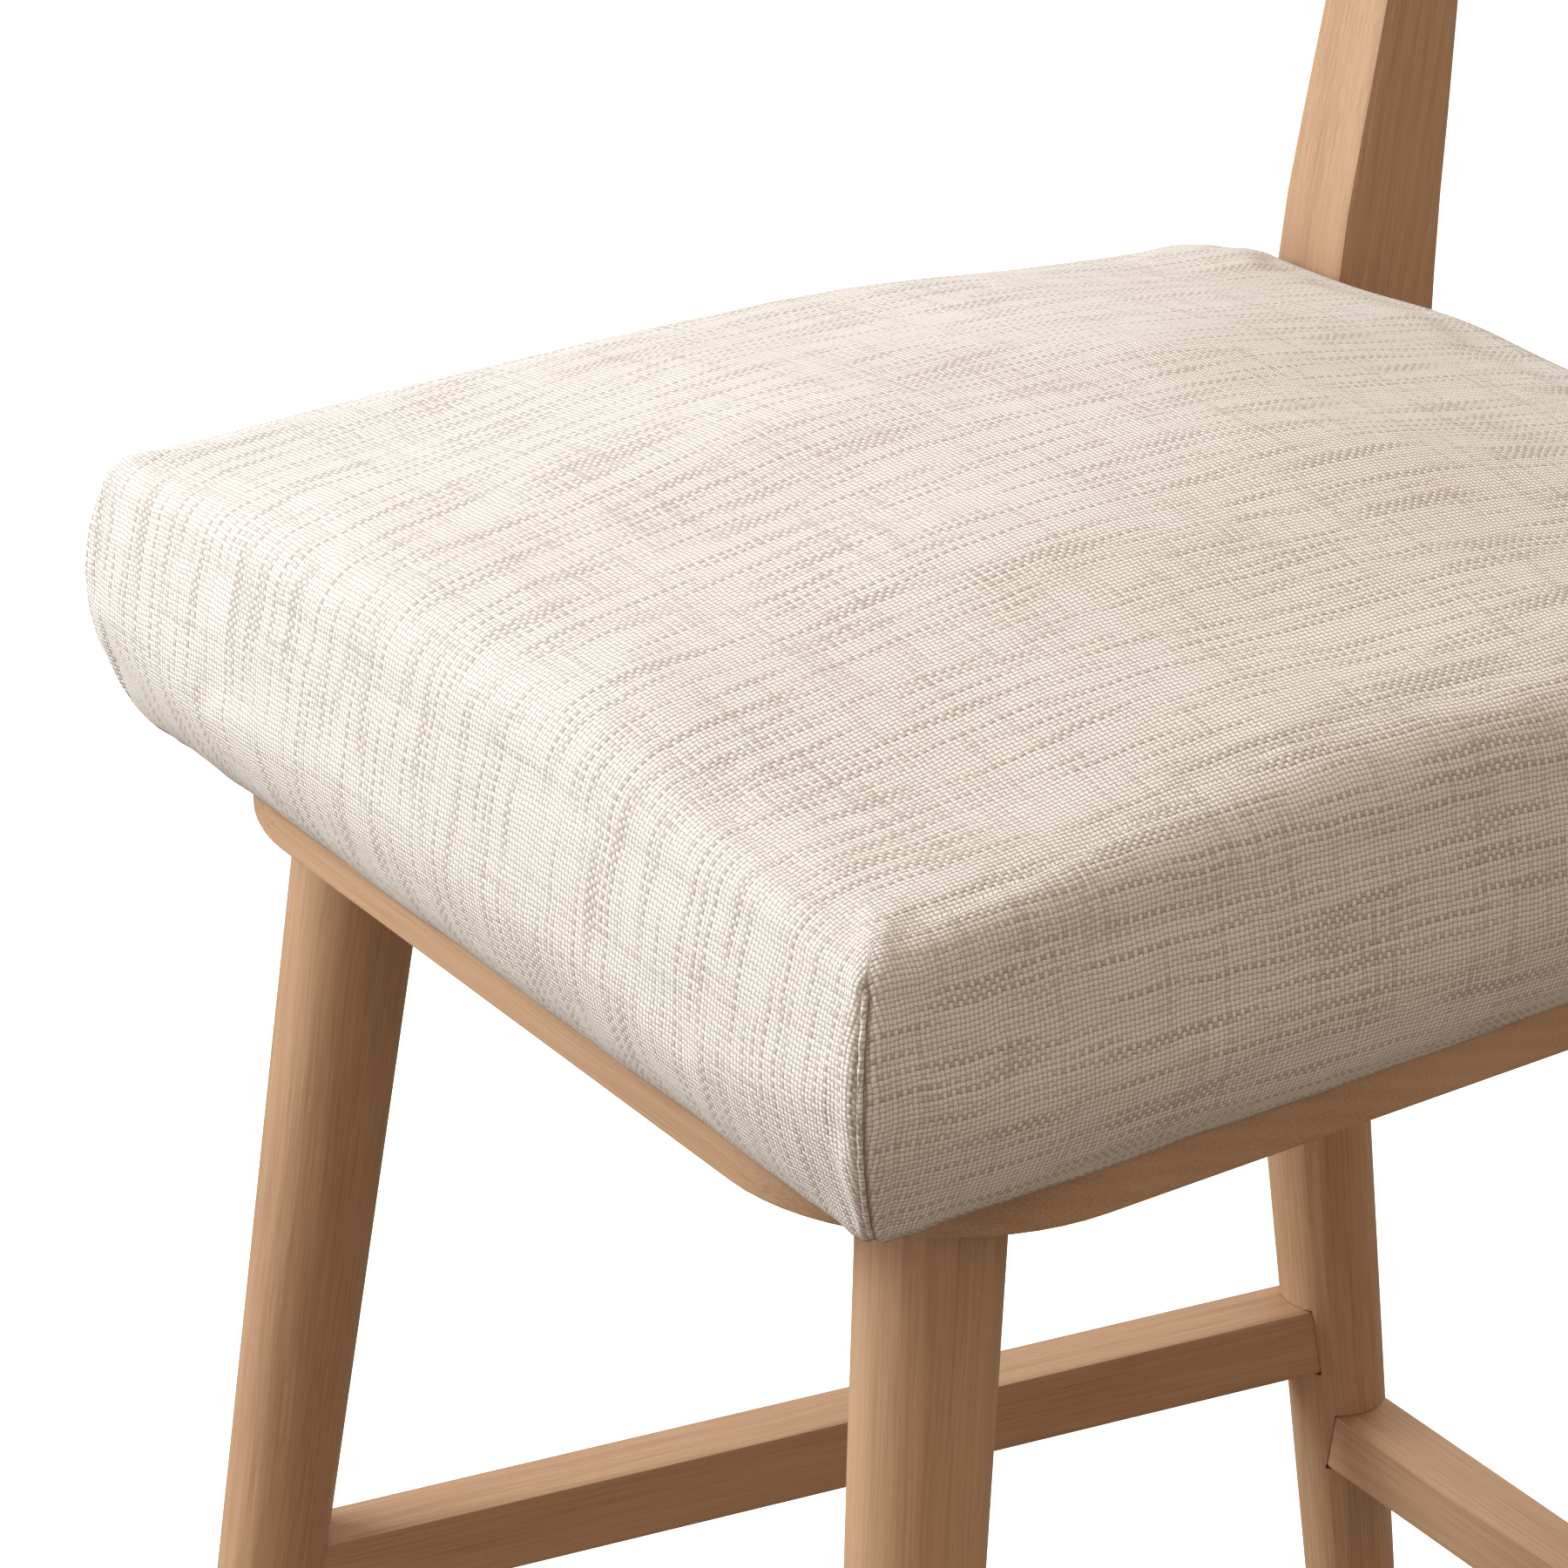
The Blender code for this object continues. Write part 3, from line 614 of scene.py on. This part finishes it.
@dataclass
class SeatShape:
    """The padded seat's skin as a grid: four upright panels, a rounded shoulder, a crowned top."""

    front: float
    back: float
    half_width: float
    taper: float
    low: float
    side_height: float
    shoulder: float = 0.024
    corner_share: float = 0.44
    corner_reach: float = 0.170
    crown: float = 0.007
    bulge: float = 0.017
    back_give: float = 0.10
    corner: float = 0.005
    back_corner: float = 0.028
    across: int = 96
    deep: int = 92
    side_rows: int = 20
    shoulder_rows: int = 9
    gather: float = 0.76
    corner_growth: float = 0.3
    least_corner: float = 0.003
    swell_span: float = 0.8
    swell_power: float = 0.7
    dome_power: float = 2.4

    def spread(self, count: int) -> np.ndarray:
        """Shares from 0 to 1, closer together near both ends."""
        share = np.linspace(0.0, 1.0, count + 1)
        return share - self.gather * np.sin(2 * math.pi * share) / (2 * math.pi)

    def outline(self, grow: float) -> np.ndarray:
        """The seat's plan, as points in order round it.

        Args:
            grow: how far it stands outside the hem's plan.

        Returns:
            Rows of x and y, starting in the middle of the front left corner.
        """
        front = self.front - grow
        back = self.back + (grow * self.back_give if grow > 0 else grow)
        near, far = (
            max(radius + grow * self.corner_growth, self.least_corner)
            for radius in (self.corner, self.back_corner)
        )
        radii = (near, near, far, far)
        at_front = self.half_width + grow - (front - self.front) * self.taper
        at_back = self.half_width + grow - (back - self.front) * self.taper
        corners = [
            Vector((-at_front, front)),
            Vector((at_front, front)),
            Vector((at_back, back)),
            Vector((-at_back, back)),
        ]
        sides = []
        for i, count in enumerate((self.across, self.deep, self.across, self.deep)):
            start, end = corners[i], corners[(i + 1) % 4]
            length = (end - start).length
            direction = (end - start) / length
            inward = Vector((-direction.y, direction.x))
            ends = (radii[i], radii[(i + 1) % 4])
            total = length + (math.pi / 4 - 1) * sum(ends)
            for share in self.spread(count)[:-1]:
                sides.append(self.along_side(start, direction, inward, ends, length, share * total))
        return np.array(sides)

    def along_side(
        self,
        start: Vector,
        direction: Vector,
        inward: Vector,
        ends: tuple[float, float],
        length: float,
        distance: float,
    ) -> tuple[float, float]:
        """A point on one side, between the middles of its two rounded corners.

        Args:
            start: the side's sharp corner.
            direction: the way the side runs.
            inward: the way into the seat.
            ends: the radii of the side's first and last corners.
            length: from sharp corner to sharp corner.
            distance: how far along the rounded outline the point is.

        Returns:
            The point's x and y.
        """
        first, last = ends
        reach = first * math.pi / 4
        straight = length - first - last
        if distance < reach:
            turn = math.pi / 4 - distance / first
            along, depth = first * (1 - math.sin(turn)), first * (1 - math.cos(turn))
        elif distance <= reach + straight:
            along, depth = first + distance - reach, 0.0
        else:
            turn = (distance - reach - straight) / last
            along = first + straight + last * math.sin(turn)
            depth = last * (1 - math.cos(turn))
        point = start + direction * along + inward * depth
        return point.x, point.y

    def fullness(self) -> np.ndarray:
        """How much of the shoulder's full radius each column has: less towards the corners.

        Returns:
            A share for each column, in order round the seat.
        """
        sides = []
        width = 2 * self.half_width
        depth = self.back - self.front
        for count, length in ((self.across, width), (self.deep, depth)) * 2:
            share = self.spread(count)[:-1]
            near = np.clip(np.minimum(share, 1 - share) * length / self.corner_reach, 0, 1)
            sides.append(near * near * (3 - 2 * near))
        return self.corner_share + (1 - self.corner_share) * np.concatenate(sides)

    def swell(self, share: float) -> float:
        """How far the side stands out at a share of its height: most in its upper half."""
        return self.bulge * math.sin(self.swell_span * math.pi * share) ** self.swell_power

    def rings(self) -> list[np.ndarray]:
        """Rings of points from the hem up to the inner edge of the shoulder.

        Returns:
            One array for each ring, with rows of x, y and z.
        """
        found = []
        for row in range(self.side_rows + 1):
            share = row / self.side_rows
            plan = self.outline(self.swell(share))
            height = np.full(len(plan), self.low + self.side_height * share)
            found.append(np.column_stack([plan, height]))
        edge = self.swell(1.0)
        outer, full = self.outline(edge), self.fullness()
        for row in range(1, self.shoulder_rows + 1):
            turn = math.pi / 2 * row / self.shoulder_rows
            inner = self.outline(edge - self.shoulder * (1 - math.cos(turn)))
            plan = outer + (inner - outer) * full[:, None]
            rise = self.shoulder * math.sin(turn) * full
            found.append(np.column_stack([plan, self.low + self.side_height + rise]))
        return found

    def top_patch(self, ring: np.ndarray) -> np.ndarray:
        """The crowned top over the inside of the last ring.

        Args:
            ring: the inner edge of the shoulder.

        Returns:
            A grid of points, from left to right and from front to back.
        """
        a, d = self.across, self.deep
        front = ring[: a + 1]
        right = ring[a : a + d + 1]
        back = ring[a + d : 2 * a + d + 1][::-1]
        left = np.vstack([ring[2 * a + d :], ring[:1]])[::-1]
        u = self.spread(a)[:, None, None]
        v = self.spread(d)[None, :, None]
        ruled = (1 - v) * front[:, None] + v * back[:, None]
        ruled = ruled + (1 - u) * left[None] + u * right[None]
        pinned = (1 - u) * (1 - v) * front[0] + u * (1 - v) * front[-1]
        pinned = pinned + (1 - u) * v * back[0] + u * v * back[-1]
        patch = ruled - pinned
        across, along = (1 - np.abs(2 * share - 1) ** self.dome_power for share in (u, v))
        patch[:, :, 2:] += self.crown * (across * along)
        return patch

    def build(self, name: str) -> tuple[bpy.types.Object, np.ndarray]:
        """Makes the skin as an object with its cloth and seam attributes.

        Args:
            name: the object's name.

        Returns:
            The object, and the point numbers of its rings, one row for each level.
        """
        rings = self.rings()
        inner = self.top_patch(rings[-1])[1:-1, 1:-1]
        points = np.vstack([*rings, inner.reshape(-1, 3)])
        ring_ids = np.arange(len(rings) * self.round_count()).reshape(len(rings), -1)
        faces = self.wall_faces(ring_ids) + self.top_faces(ring_ids[-1], ring_ids.size)
        mesh = bpy.data.meshes.new(name)
        mesh.from_pydata(points.tolist(), [], faces)
        mesh.update()
        obj = add_object(name, mesh)
        self.write_cloth(mesh, rings, inner)
        return obj, ring_ids

    def round_count(self) -> int:
        """How many points go once round the seat."""
        return 2 * (self.across + self.deep)

    def wall_faces(self, ring_ids: np.ndarray) -> list[list[int]]:
        """The panels' and the shoulder's faces, facing outwards.

        Args:
            ring_ids: the point numbers of the rings, one row for each level.

        Returns:
            The faces, as point numbers.
        """
        low, high = ring_ids[:-1], ring_ids[1:]
        quads = [low, np.roll(low, -1, axis=1), np.roll(high, -1, axis=1), high]
        return np.stack(quads, axis=-1).reshape(-1, 4).tolist()

    def top_faces(self, ring: np.ndarray, first_inner: int) -> list[list[int]]:
        """The crowned top's faces, which share the last ring's points.

        Args:
            ring: the last ring's point numbers.
            first_inner: the number of the first point inside it.

        Returns:
            The faces, as point numbers.
        """
        a, d = self.across, self.deep
        grid = np.empty((a + 1, d + 1), int)
        grid[1:-1, 1:-1] = first_inner + np.arange((a - 1) * (d - 1)).reshape(a - 1, d - 1)
        grid[:, 0] = ring[: a + 1]
        grid[a] = ring[a : a + d + 1]
        grid[:, d] = ring[a + d : 2 * a + d + 1][::-1]
        grid[0] = np.append(ring[2 * a + d :], ring[0])[::-1]
        quads = [grid[:-1, :-1], grid[1:, :-1], grid[1:, 1:], grid[:-1, 1:]]
        return np.stack(quads, axis=-1).reshape(-1, 4).tolist()

    def panel_of(self, column: int) -> Panel:
        """The panel that a column of the grid lies on."""
        bounds = (self.across, self.across + self.deep, 2 * self.across + self.deep)
        return Panel(sum(column >= bound for bound in bounds))

    def write_cloth(self, mesh: bpy.types.Mesh, rings: list[np.ndarray], inner: np.ndarray) -> None:
        """Stores where each point lies on the cloth, as if the panels were folded out flat.

        Args:
            mesh: the skin.
            rings: its rings of points, from the hem up.
            inner: the top's points inside the last ring.
        """
        top = rings[-1]
        panels = [self.panel_of(column) for column in range(len(top))]
        front, right, back, left = (np.array([one is panel for one in panels]) for panel in Panel)
        fall = np.zeros(len(top))
        cloth = [top[:, :2]]
        for low, high in zip(rings[-2::-1], rings[:0:-1]):
            fall = fall + np.linalg.norm(low - high, axis=1)
            here = low[:, :2].copy()
            here[front | back, 1] = (top[:, 1] - fall * front + fall * back)[front | back]
            here[right | left, 0] = (top[:, 0] + fall * right - fall * left)[right | left]
            cloth.insert(0, here)
        store_cloth(mesh, np.vstack([*cloth, inner[:, :, :2].reshape(-1, 2)]))


def store_cloth(mesh: bpy.types.Mesh, flat: np.ndarray) -> None:
    """Gives a mesh its place on the cloth, and a painted seam shade of nought.

    Args:
        mesh: the mesh.
        flat: where each point lies on the flat cloth, as rows of two.
    """
    values = np.column_stack([flat, np.zeros(len(flat))]).astype(np.float32)
    places = mesh.attributes.new("cloth", "FLOAT_VECTOR", "POINT").data
    places.foreach_set("vector", values.ravel())
    mesh.attributes.new("seam", "FLOAT", "POINT")


@dataclass
class PaddedSeat:
    """The linen cover, its corner folds and the foam inside it."""

    hem_clearance: float = 0.0006
    hem_overhang: float = 0.0055
    hem_side_overhang: float = 0.0075
    hem_drop: float = 0.0018
    hem_fade: float = 0.050
    hem_rows: int = 5
    hem_waves: tuple[Band, ...] = ((0.0003, 9), (0.0003, 23), (0.0002, 41), (0.0001, 77))
    side_taper: float = math.radians(2.9)
    upright_share: float = 0.745
    post_gap: float = 0.0030
    cloth_thickness: float = 0.0020
    swell_cap: float = 0.0022
    swell_pressure: float = 4.0
    cloth_mass: float = 0.35
    cloth_stretch: float = 22.0
    cloth_shear: float = 10.0
    cloth_bend: float = 0.8
    start_smaller: float = 0.001
    frames: int = 18
    seam_depth: float = 0.0016
    seam_width: float = 0.0016
    seam_columns: int = 16
    pucker: float = 0.0005
    pucker_reach: float = 0.022
    pucker_pitch: float = 0.013
    pucker_fade: float = 2.4
    slow_pucker: float = 0.6
    wave_seed: int = 11
    uneven_above: float = 0.05
    uneven_lift: float = 0.0007
    uneven_fine_lift: float = 0.0005
    fold_radius: float = 0.0009
    fold_aside: float = 1.25
    fold_sunk: float = 0.0003
    fold_end_sunk: float = 0.0016
    fold_end: float = 0.86
    fold_unevenness: float = 0.14
    foam_inset: float = 0.011
    foam_cells: int = 24
    foam_crease: float = math.radians(40)
    pad_fill: float = 0.9

    def shape(self, inset: float = 0.0) -> SeatShape:
        """The seat's plan and section, from the frame's own boxes.

        Args:
            inset: how far inside the cover's skin it lies.

        Returns:
            The shape, ready to build.
        """
        board_low, board_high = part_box("seat_board")
        cover_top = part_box("seat_cover")[1].z
        hem_front = board_low.y - self.hem_overhang
        hem_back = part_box("back_post_left")[0].y - self.post_gap
        hem_half = board_high.x + self.hem_side_overhang
        side = (cover_top - board_high.z) * self.upright_share
        return SeatShape(
            front=hem_front + inset,
            back=hem_back - inset,
            half_width=hem_half - inset,
            taper=math.tan(self.side_taper),
            low=board_high.z + self.hem_clearance,
            side_height=side - inset / 2,
        )

    def swell(self, obj: bpy.types.Object, pinned: np.ndarray) -> None:
        """Blows the cover up like a filled cushion, as cloth, and keeps the result.

        Args:
            obj: the cover.
            pinned: point numbers that stay on the board.
        """
        mesh = obj.data
        before = self.read(mesh)
        group = obj.vertex_groups.new(name="hem")
        group.add([int(number) for number in pinned.ravel()], 1.0, "REPLACE")
        cloth = obj.modifiers.new("Swell", "CLOTH")
        settings = cloth.settings
        settings.quality = 5
        settings.mass = self.cloth_mass
        settings.tension_stiffness = self.cloth_stretch
        settings.compression_stiffness = self.cloth_stretch
        settings.shear_stiffness = self.cloth_shear
        settings.bending_stiffness = self.cloth_bend
        settings.use_pressure = True
        settings.uniform_pressure_force = self.swell_pressure
        settings.vertex_group_mass = "hem"
        settings.effector_weights.gravity = 0.0
        cloth.collision_settings.use_collision = False
        cloth.point_cache.frame_start = 1
        cloth.point_cache.frame_end = self.frames + 1
        scene = bpy.context.scene
        for number in range(1, self.frames + 1):
            scene.frame_set(number)
        evaluated = obj.evaluated_get(bpy.context.evaluated_depsgraph_get())
        after = self.read(evaluated.to_mesh())
        evaluated.to_mesh_clear()
        obj.modifiers.remove(cloth)
        obj.vertex_groups.remove(group)
        scene.frame_set(1)
        move = after - before
        length = np.maximum(np.linalg.norm(move, axis=1, keepdims=True), TINY)
        move *= np.tanh(length / self.swell_cap) * self.swell_cap / length
        self.write(mesh, before + move)
        LOG.info("cover swelled by up to %.1f mm", 1000 * np.linalg.norm(move, axis=1).max())

    @staticmethod
    def read(mesh: bpy.types.Mesh) -> np.ndarray:
        """The mesh's points.

        Args:
            mesh: the mesh.

        Returns:
            One row of x, y and z for each point.
        """
        points = np.empty(len(mesh.vertices) * 3, np.float32)
        mesh.vertices.foreach_get("co", points)
        return points.reshape(-1, 3).astype(float)

    @staticmethod
    def write(mesh: bpy.types.Mesh, points: np.ndarray) -> None:
        """Puts the mesh's points in new places."""
        mesh.vertices.foreach_set("co", points.astype(np.float32).ravel())
        mesh.update()

    def sew(self, obj: bpy.types.Object, shape: SeatShape, rings: np.ndarray) -> list[np.ndarray]:
        """Presses in the corner seams, stores a painted shade along them, puckers the cloth beside
        them and waves the hem.

        Args:
            obj: the cover.
            shape: its grid.
            rings: the point numbers of its rings.

        Returns:
            The path of each corner seam, bottom to top.
        """
        mesh = obj.data
        points = self.read(mesh)
        normals = np.array([vertex.normal for vertex in mesh.vertices])
        moved = points.copy()
        # painted shade along the seam grooves, one value for each point
        seams = np.zeros(len(points), np.float32)
        wave = np.random.default_rng(self.wave_seed)
        fade_rows = shape.shoulder_rows // 2
        walls = rings[: shape.side_rows + fade_rows]
        fade = np.minimum(1.0, np.arange(len(walls), 0, -1) / fade_rows)[:, None]
        steps = np.arange(-self.seam_columns, self.seam_columns + 1)
        a, d = shape.across, shape.deep
        paths = []
        for corner in (0, a, a + d, 2 * a + d):
            phases = wave.uniform(0, FULL_TURN, 3)
            path = points[walls[:, corner]]
            beside = walls[:, (corner + steps) % shape.round_count()]
            away = np.linalg.norm(points[beside] - path[:, None], axis=2)
            groove = np.exp(-((away / self.seam_width) ** 2)) * fade
            turn = math.pi * points[beside, 2] / self.pucker_pitch
            ripple = np.sin(2 * turn + phases[(steps > 0).astype(int)])
            ripple += self.slow_pucker * np.sin(turn + phases[2])
            reach = away / self.pucker_reach
            near = reach * np.exp(1 - reach * self.pucker_fade)
            shift = self.pucker * ripple * near * fade - self.seam_depth * groove
            moved[beside] = points[beside] + normals[beside] * shift[:, :, None]
            # the groove's profile also gives the painted shade along the seam
            seams[beside] = np.maximum(seams[beside], groove)
            paths.append(path)
        moved[:, 2] += self.hem_lift(points, shape, rings, wave)
        self.write(mesh, moved)
        # stores the painted seam shade for the linen's colour
        mesh.attributes["seam"].data.foreach_set("value", seams)
        return paths

    def hem_lift(
        self, points: np.ndarray, shape: SeatShape, rings: np.ndarray, wave: np.random.Generator
    ) -> np.ndarray:
        """The hem's waves and its drop over the board's edge, which fade out towards the back.

        Args:
            points: the cover's points.
            shape: its grid.
            rings: the point numbers of its rings.
            wave: gives the place where each wave starts.

        Returns:
            A lift for each point.
        """
        angle = np.linspace(0, FULL_TURN, shape.round_count(), endpoint=False)
        lift = sum(
            size * np.sin(turns * angle + wave.uniform(0, FULL_TURN))
            for size, turns in self.hem_waves
        )
        near_back = np.clip((shape.back - points[:, 1]) / self.hem_fade, 0, 1)
        lifts = np.zeros(len(points))
        for level, ids in enumerate(rings[: self.hem_rows]):
            share = 1 - level / self.hem_rows
            lifts[ids] = (lift - self.hem_drop) * share * near_back[ids]
        return lifts

    def soften(self, mesh: bpy.types.Mesh) -> None:
        """Gives the padding the slight unevenness of hand laying.

        Args:
            mesh: the cover, whose points are lifted above the hem.
        """
        points = self.read(mesh)
        x, y, z = points.T
        lift = self.uneven_lift * np.sin(31 * x + 0.6) * np.sin(27 * y + 1.9)
        lift = lift + self.uneven_fine_lift * np.sin(58 * x - 41 * y)
        points[:, 2] += lift * (z > z.min() + self.uneven_above)
        self.write(mesh, points)

    def fold(self, name: str, path: np.ndarray, outward: Vector, aside: Vector) -> bpy.types.Object:
        """The rolled edge of cloth that lies along one side of a corner seam.

        Args:
            name: the piece's name.
            path: the seam's points, bottom to top.
            outward: the way out of the corner.
            aside: the way from the seam to the side that the fold lies on.

        Returns:
            The fold, as a mesh.
        """
        curve = bpy.data.curves.new(name, "CURVE")
        curve.dimensions = "3D"
        curve.bevel_depth = self.fold_radius
        curve.bevel_resolution = 3
        curve.use_fill_caps = True
        spline = curve.splines.new("POLY")
        spline.points.add(len(path) - 1)
        for index, (point, place) in enumerate(zip(spline.points, path)):
            share = index / (len(path) - 1)
            end = max(0.0, share - self.fold_end) / (1 - self.fold_end)
            sunk = self.fold_sunk + self.fold_end_sunk * end
            at = Vector(place) + aside * (self.fold_radius * self.fold_aside) - outward * sunk
            point.co = (*at, 1.0)
            point.radius = 1.0 + self.fold_unevenness * math.sin(9.0 * index + place[0] * 50)
        holder = add_object(name, curve)
        bpy.context.view_layer.update()
        graph = bpy.context.evaluated_depsgraph_get()
        mesh = bpy.data.meshes.new_from_object(holder.evaluated_get(graph))
        bpy.data.objects.remove(holder)
        piece = add_object(name, mesh)
        mesh.shade_smooth()
        store_cloth(mesh, self.read(mesh)[:, [0, 2]])
        return piece

    def build(self) -> None:
        """Makes and dresses the cover, its corner folds and the foam."""
        linen = LinenFinish().material("linen_cover")
        self.build_folds(self.build_cover(linen), linen)
        self.build_foam()

    def build_cover(self, linen: bpy.types.Material) -> list[np.ndarray]:
        """Makes the cover.

        Args:
            linen: what it is made of.

        Returns:
            The path of each corner seam, bottom to top.
        """
        shape = self.shape(self.start_smaller)
        cover, rings = shape.build("seat_cover_linen")
        cover.data.materials.append(linen)
        self.swell(cover, rings[:2])
        self.soften(cover.data)
        paths = self.sew(cover, shape, rings)
        cover.data.shade_smooth()
        finer = cover.modifiers.new("Finer", "SUBSURF")
        finer.levels = finer.render_levels = 1
        thick = cover.modifiers.new("Thickness", "SOLIDIFY")
        thick.thickness = self.cloth_thickness
        thick.offset = -1.0
        self.hand_over(cover, "linen", "seat_cover")
        return paths

    def build_folds(self, paths: list[np.ndarray], linen: bpy.types.Material) -> None:
        """Lays a fold beside each corner seam.

        Args:
            paths: the path of each seam.
            linen: what the folds are made of.
        """
        corners = {
            "front_left": (-1, -1),
            "front_right": (1, -1),
            "back_right": (1, 1),
            "back_left": (-1, 1),
        }
        for path, (name, out) in zip(paths, corners.items()):
            outward = Vector((*out, 0)).normalized()
            fold = self.fold(f"corner_fold_{name}", path, outward, Vector((-out[0], 0, 0)))
            fold.data.materials.clear()
            fold.data.materials.append(linen)
            self.hand_over(fold, "linen")

    def build_foam(self) -> None:
        """Makes the foam block that fills the cover."""
        shape = self.shape(self.foam_inset)
        shape.across = shape.deep = self.foam_cells
        shape.gather = 0.0
        foam, _ = shape.build("seat_foam_block")
        foam.data.materials.append(FOAM.material("seat_foam"))
        self.close_under(foam, shape)
        self.hand_over(foam, "foam", "seat_foam")

    def close_under(self, foam: bpy.types.Object, shape: SeatShape) -> None:
        """Raises the foam's open underside to the pan and closes it.

        Args:
            foam: the foam, as an open skin.
            shape: its grid.
        """
        pan_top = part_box("seat_pan")[1].z
        points = self.read(foam.data)
        reach = shape.low + shape.side_height
        share = np.clip((reach - points[:, 2]) / (reach - shape.low), 0, 1)
        points[:, 2] += share * (pan_top + self.hem_clearance - shape.low)
        faces = [tuple(face.vertices) for face in foam.data.polygons]
        faces.append(tuple(reversed(range(shape.round_count()))))
        closed = bpy.data.meshes.new("seat_foam_block")
        closed.from_pydata(points.tolist(), [], faces)
        closed.materials.append(foam.data.materials[0])
        closed.shade_smooth()
        closed.set_sharp_from_angle(angle=self.foam_crease)
        foam.data = closed

    def hand_over(self, piece: bpy.types.Object, slot: str, *stands_for: str) -> None:
        """Hangs a piece on the body, hides the solids that it stands for and logs it.

        Args:
            piece: the piece.
            slot: not used.
            stands_for: the names of the solids that it replaces.
        """
        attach(piece, BODY)
        if stands_for:
            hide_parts(*stands_for)
        LOG.info("built %s, %d points", piece.name, len(piece.data.vertices))


# Studio


@dataclass(frozen=True)
class Lamp:
    """A square soft light: its name, its place and aim from the seat board's middle, its side
    in metres, its power in watts and its tint."""

    name: str
    place: Triple
    aim: Triple
    size: float
    power: float
    tint: Colour

    def build(self, seat: Vector) -> None:
        """Hangs the light.

        Args:
            seat: the middle of the seat board.
        """
        data = bpy.data.lights.new(self.name, "AREA")
        data.shape = "SQUARE"
        data.size = self.size
        data.energy = self.power
        data.color = self.tint
        lamp = add_object(self.name, data)
        lamp.location = seat + Vector(self.place)
        lamp.rotation_mode = "QUATERNION"
        facing = Vector(self.aim) - Vector(self.place)
        lamp.rotation_quaternion = facing.to_track_quat("-Z", "Y")


LAMPS = (
    Lamp("key", (-1.15, -1.35, 1.05), (0, 0, 0), 1.1, 45.0, (0.90, 0.965, 1.0)),
    Lamp("top", (-0.7, 1.1, 1.3), (0, 0, 0), 1.2, 7.0, (0.90, 0.97, 1.0)),
    Lamp("low", (-0.7, -2.0, -0.30), (0, 0, -0.3), 0.9, 9.0, (1.0, 0.97, 0.93)),
)


@dataclass
class Studio:
    """Pale floor, soft lights, and a camera that is placed from the seat board."""

    eye: Vector = field(default_factory=lambda: Vector((1.4953, -0.8476, 0.8513)))
    azimuth: float = math.radians(56.383)
    elevation: float = math.radians(24.604)
    roll: float = math.radians(0.231)
    lens: float = 143.66
    shift_x: float = -0.0695
    shift_y: float = 0.0190
    sensor: float = 36.0
    above: Colour = (0.70, 0.575, 0.47)
    below: Colour = (0.21, 0.16, 0.12)
    change_band: Band = (-0.7, 0.7)
    floor_size: float = 40.0
    floor_shade: float = 0.90
    floor_roughness: float = 0.9
    floor_glow: float = 0.75
    nearest: float = 0.05

    def build_floor(self) -> None:
        """A wide pale floor that is bright enough to read as a studio sweep."""
        bpy.ops.mesh.primitive_plane_add(size=self.floor_size, location=(0, 0, 0))
        floor = bpy.context.object
        floor.name = "studio_floor"
        shader = Shader.material("pale_floor")
        inputs = {
            "Base Color": shader.colour([self.floor_shade] * 3),
            "Roughness": self.floor_roughness,
            "Emission Color": shader.colour((1.0, 1.0, 1.0)),
            "Emission Strength": self.floor_glow,
        }
        floor.data.materials.append(shader.close(inputs))
        floor.visible_diffuse = False
        floor.visible_glossy = False

    def build_lights(self) -> None:
        """A large key at the left of the seat, two weaker lights, and a warm fill all round."""
        low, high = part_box("seat_board")
        for lamp in LAMPS:
            lamp.build((low + high) / 2)
        shader = Shader(bpy.data.worlds.new("studio"))
        around = shader.node("ShaderNodeTexCoord", output="Generated")
        height = shader.split(around)[2].above(*self.change_band)
        inputs = {"Color": shader.blend(height, self.below, self.above), "Strength": 1.0}
        bpy.context.scene.world = shader.close(
            inputs, "ShaderNodeBackground", "ShaderNodeOutputWorld"
        )

    def build_camera(self) -> None:
        """The camera, at its place from the board's front edge and underside."""
        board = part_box("seat_board")[0]
        base = Vector((0.0, board.y, board.z))
        level = Vector((math.cos(self.azimuth), math.sin(self.azimuth), 0.0))
        back = Vector((level.y, -level.x, 0.0)) * math.cos(self.elevation)
        back.z = math.sin(self.elevation)
        upright = back.cross(level)
        right = level * math.cos(self.roll) + upright * math.sin(self.roll)
        up = back.cross(right)
        data = bpy.data.cameras.new("camera")
        data.sensor_width = self.sensor
        data.lens = self.lens
        data.shift_x = self.shift_x
        data.shift_y = self.shift_y
        data.clip_start = self.nearest
        camera = add_object("camera", data)
        turn = Matrix((right, up, back)).transposed().to_4x4()
        camera.matrix_world = Matrix.Translation(base + self.eye) @ turn
        bpy.context.scene.camera = camera
        bpy.context.scene.view_settings.view_transform = "Standard"

    def build(self) -> None:
        """Makes the floor, the lights and the camera."""
        self.build_floor()
        self.build_lights()
        self.build_camera()
        LOG.info("studio is ready")


def main() -> None:
    """Builds the stool's looks in order."""
    logging.basicConfig(level=logging.INFO, format="%(message)s")
    PaddedSeat().build()
    WoodenFrame(frame["nodes"]).dress()
    Studio().build()


if __name__ == "__main__":
    main()
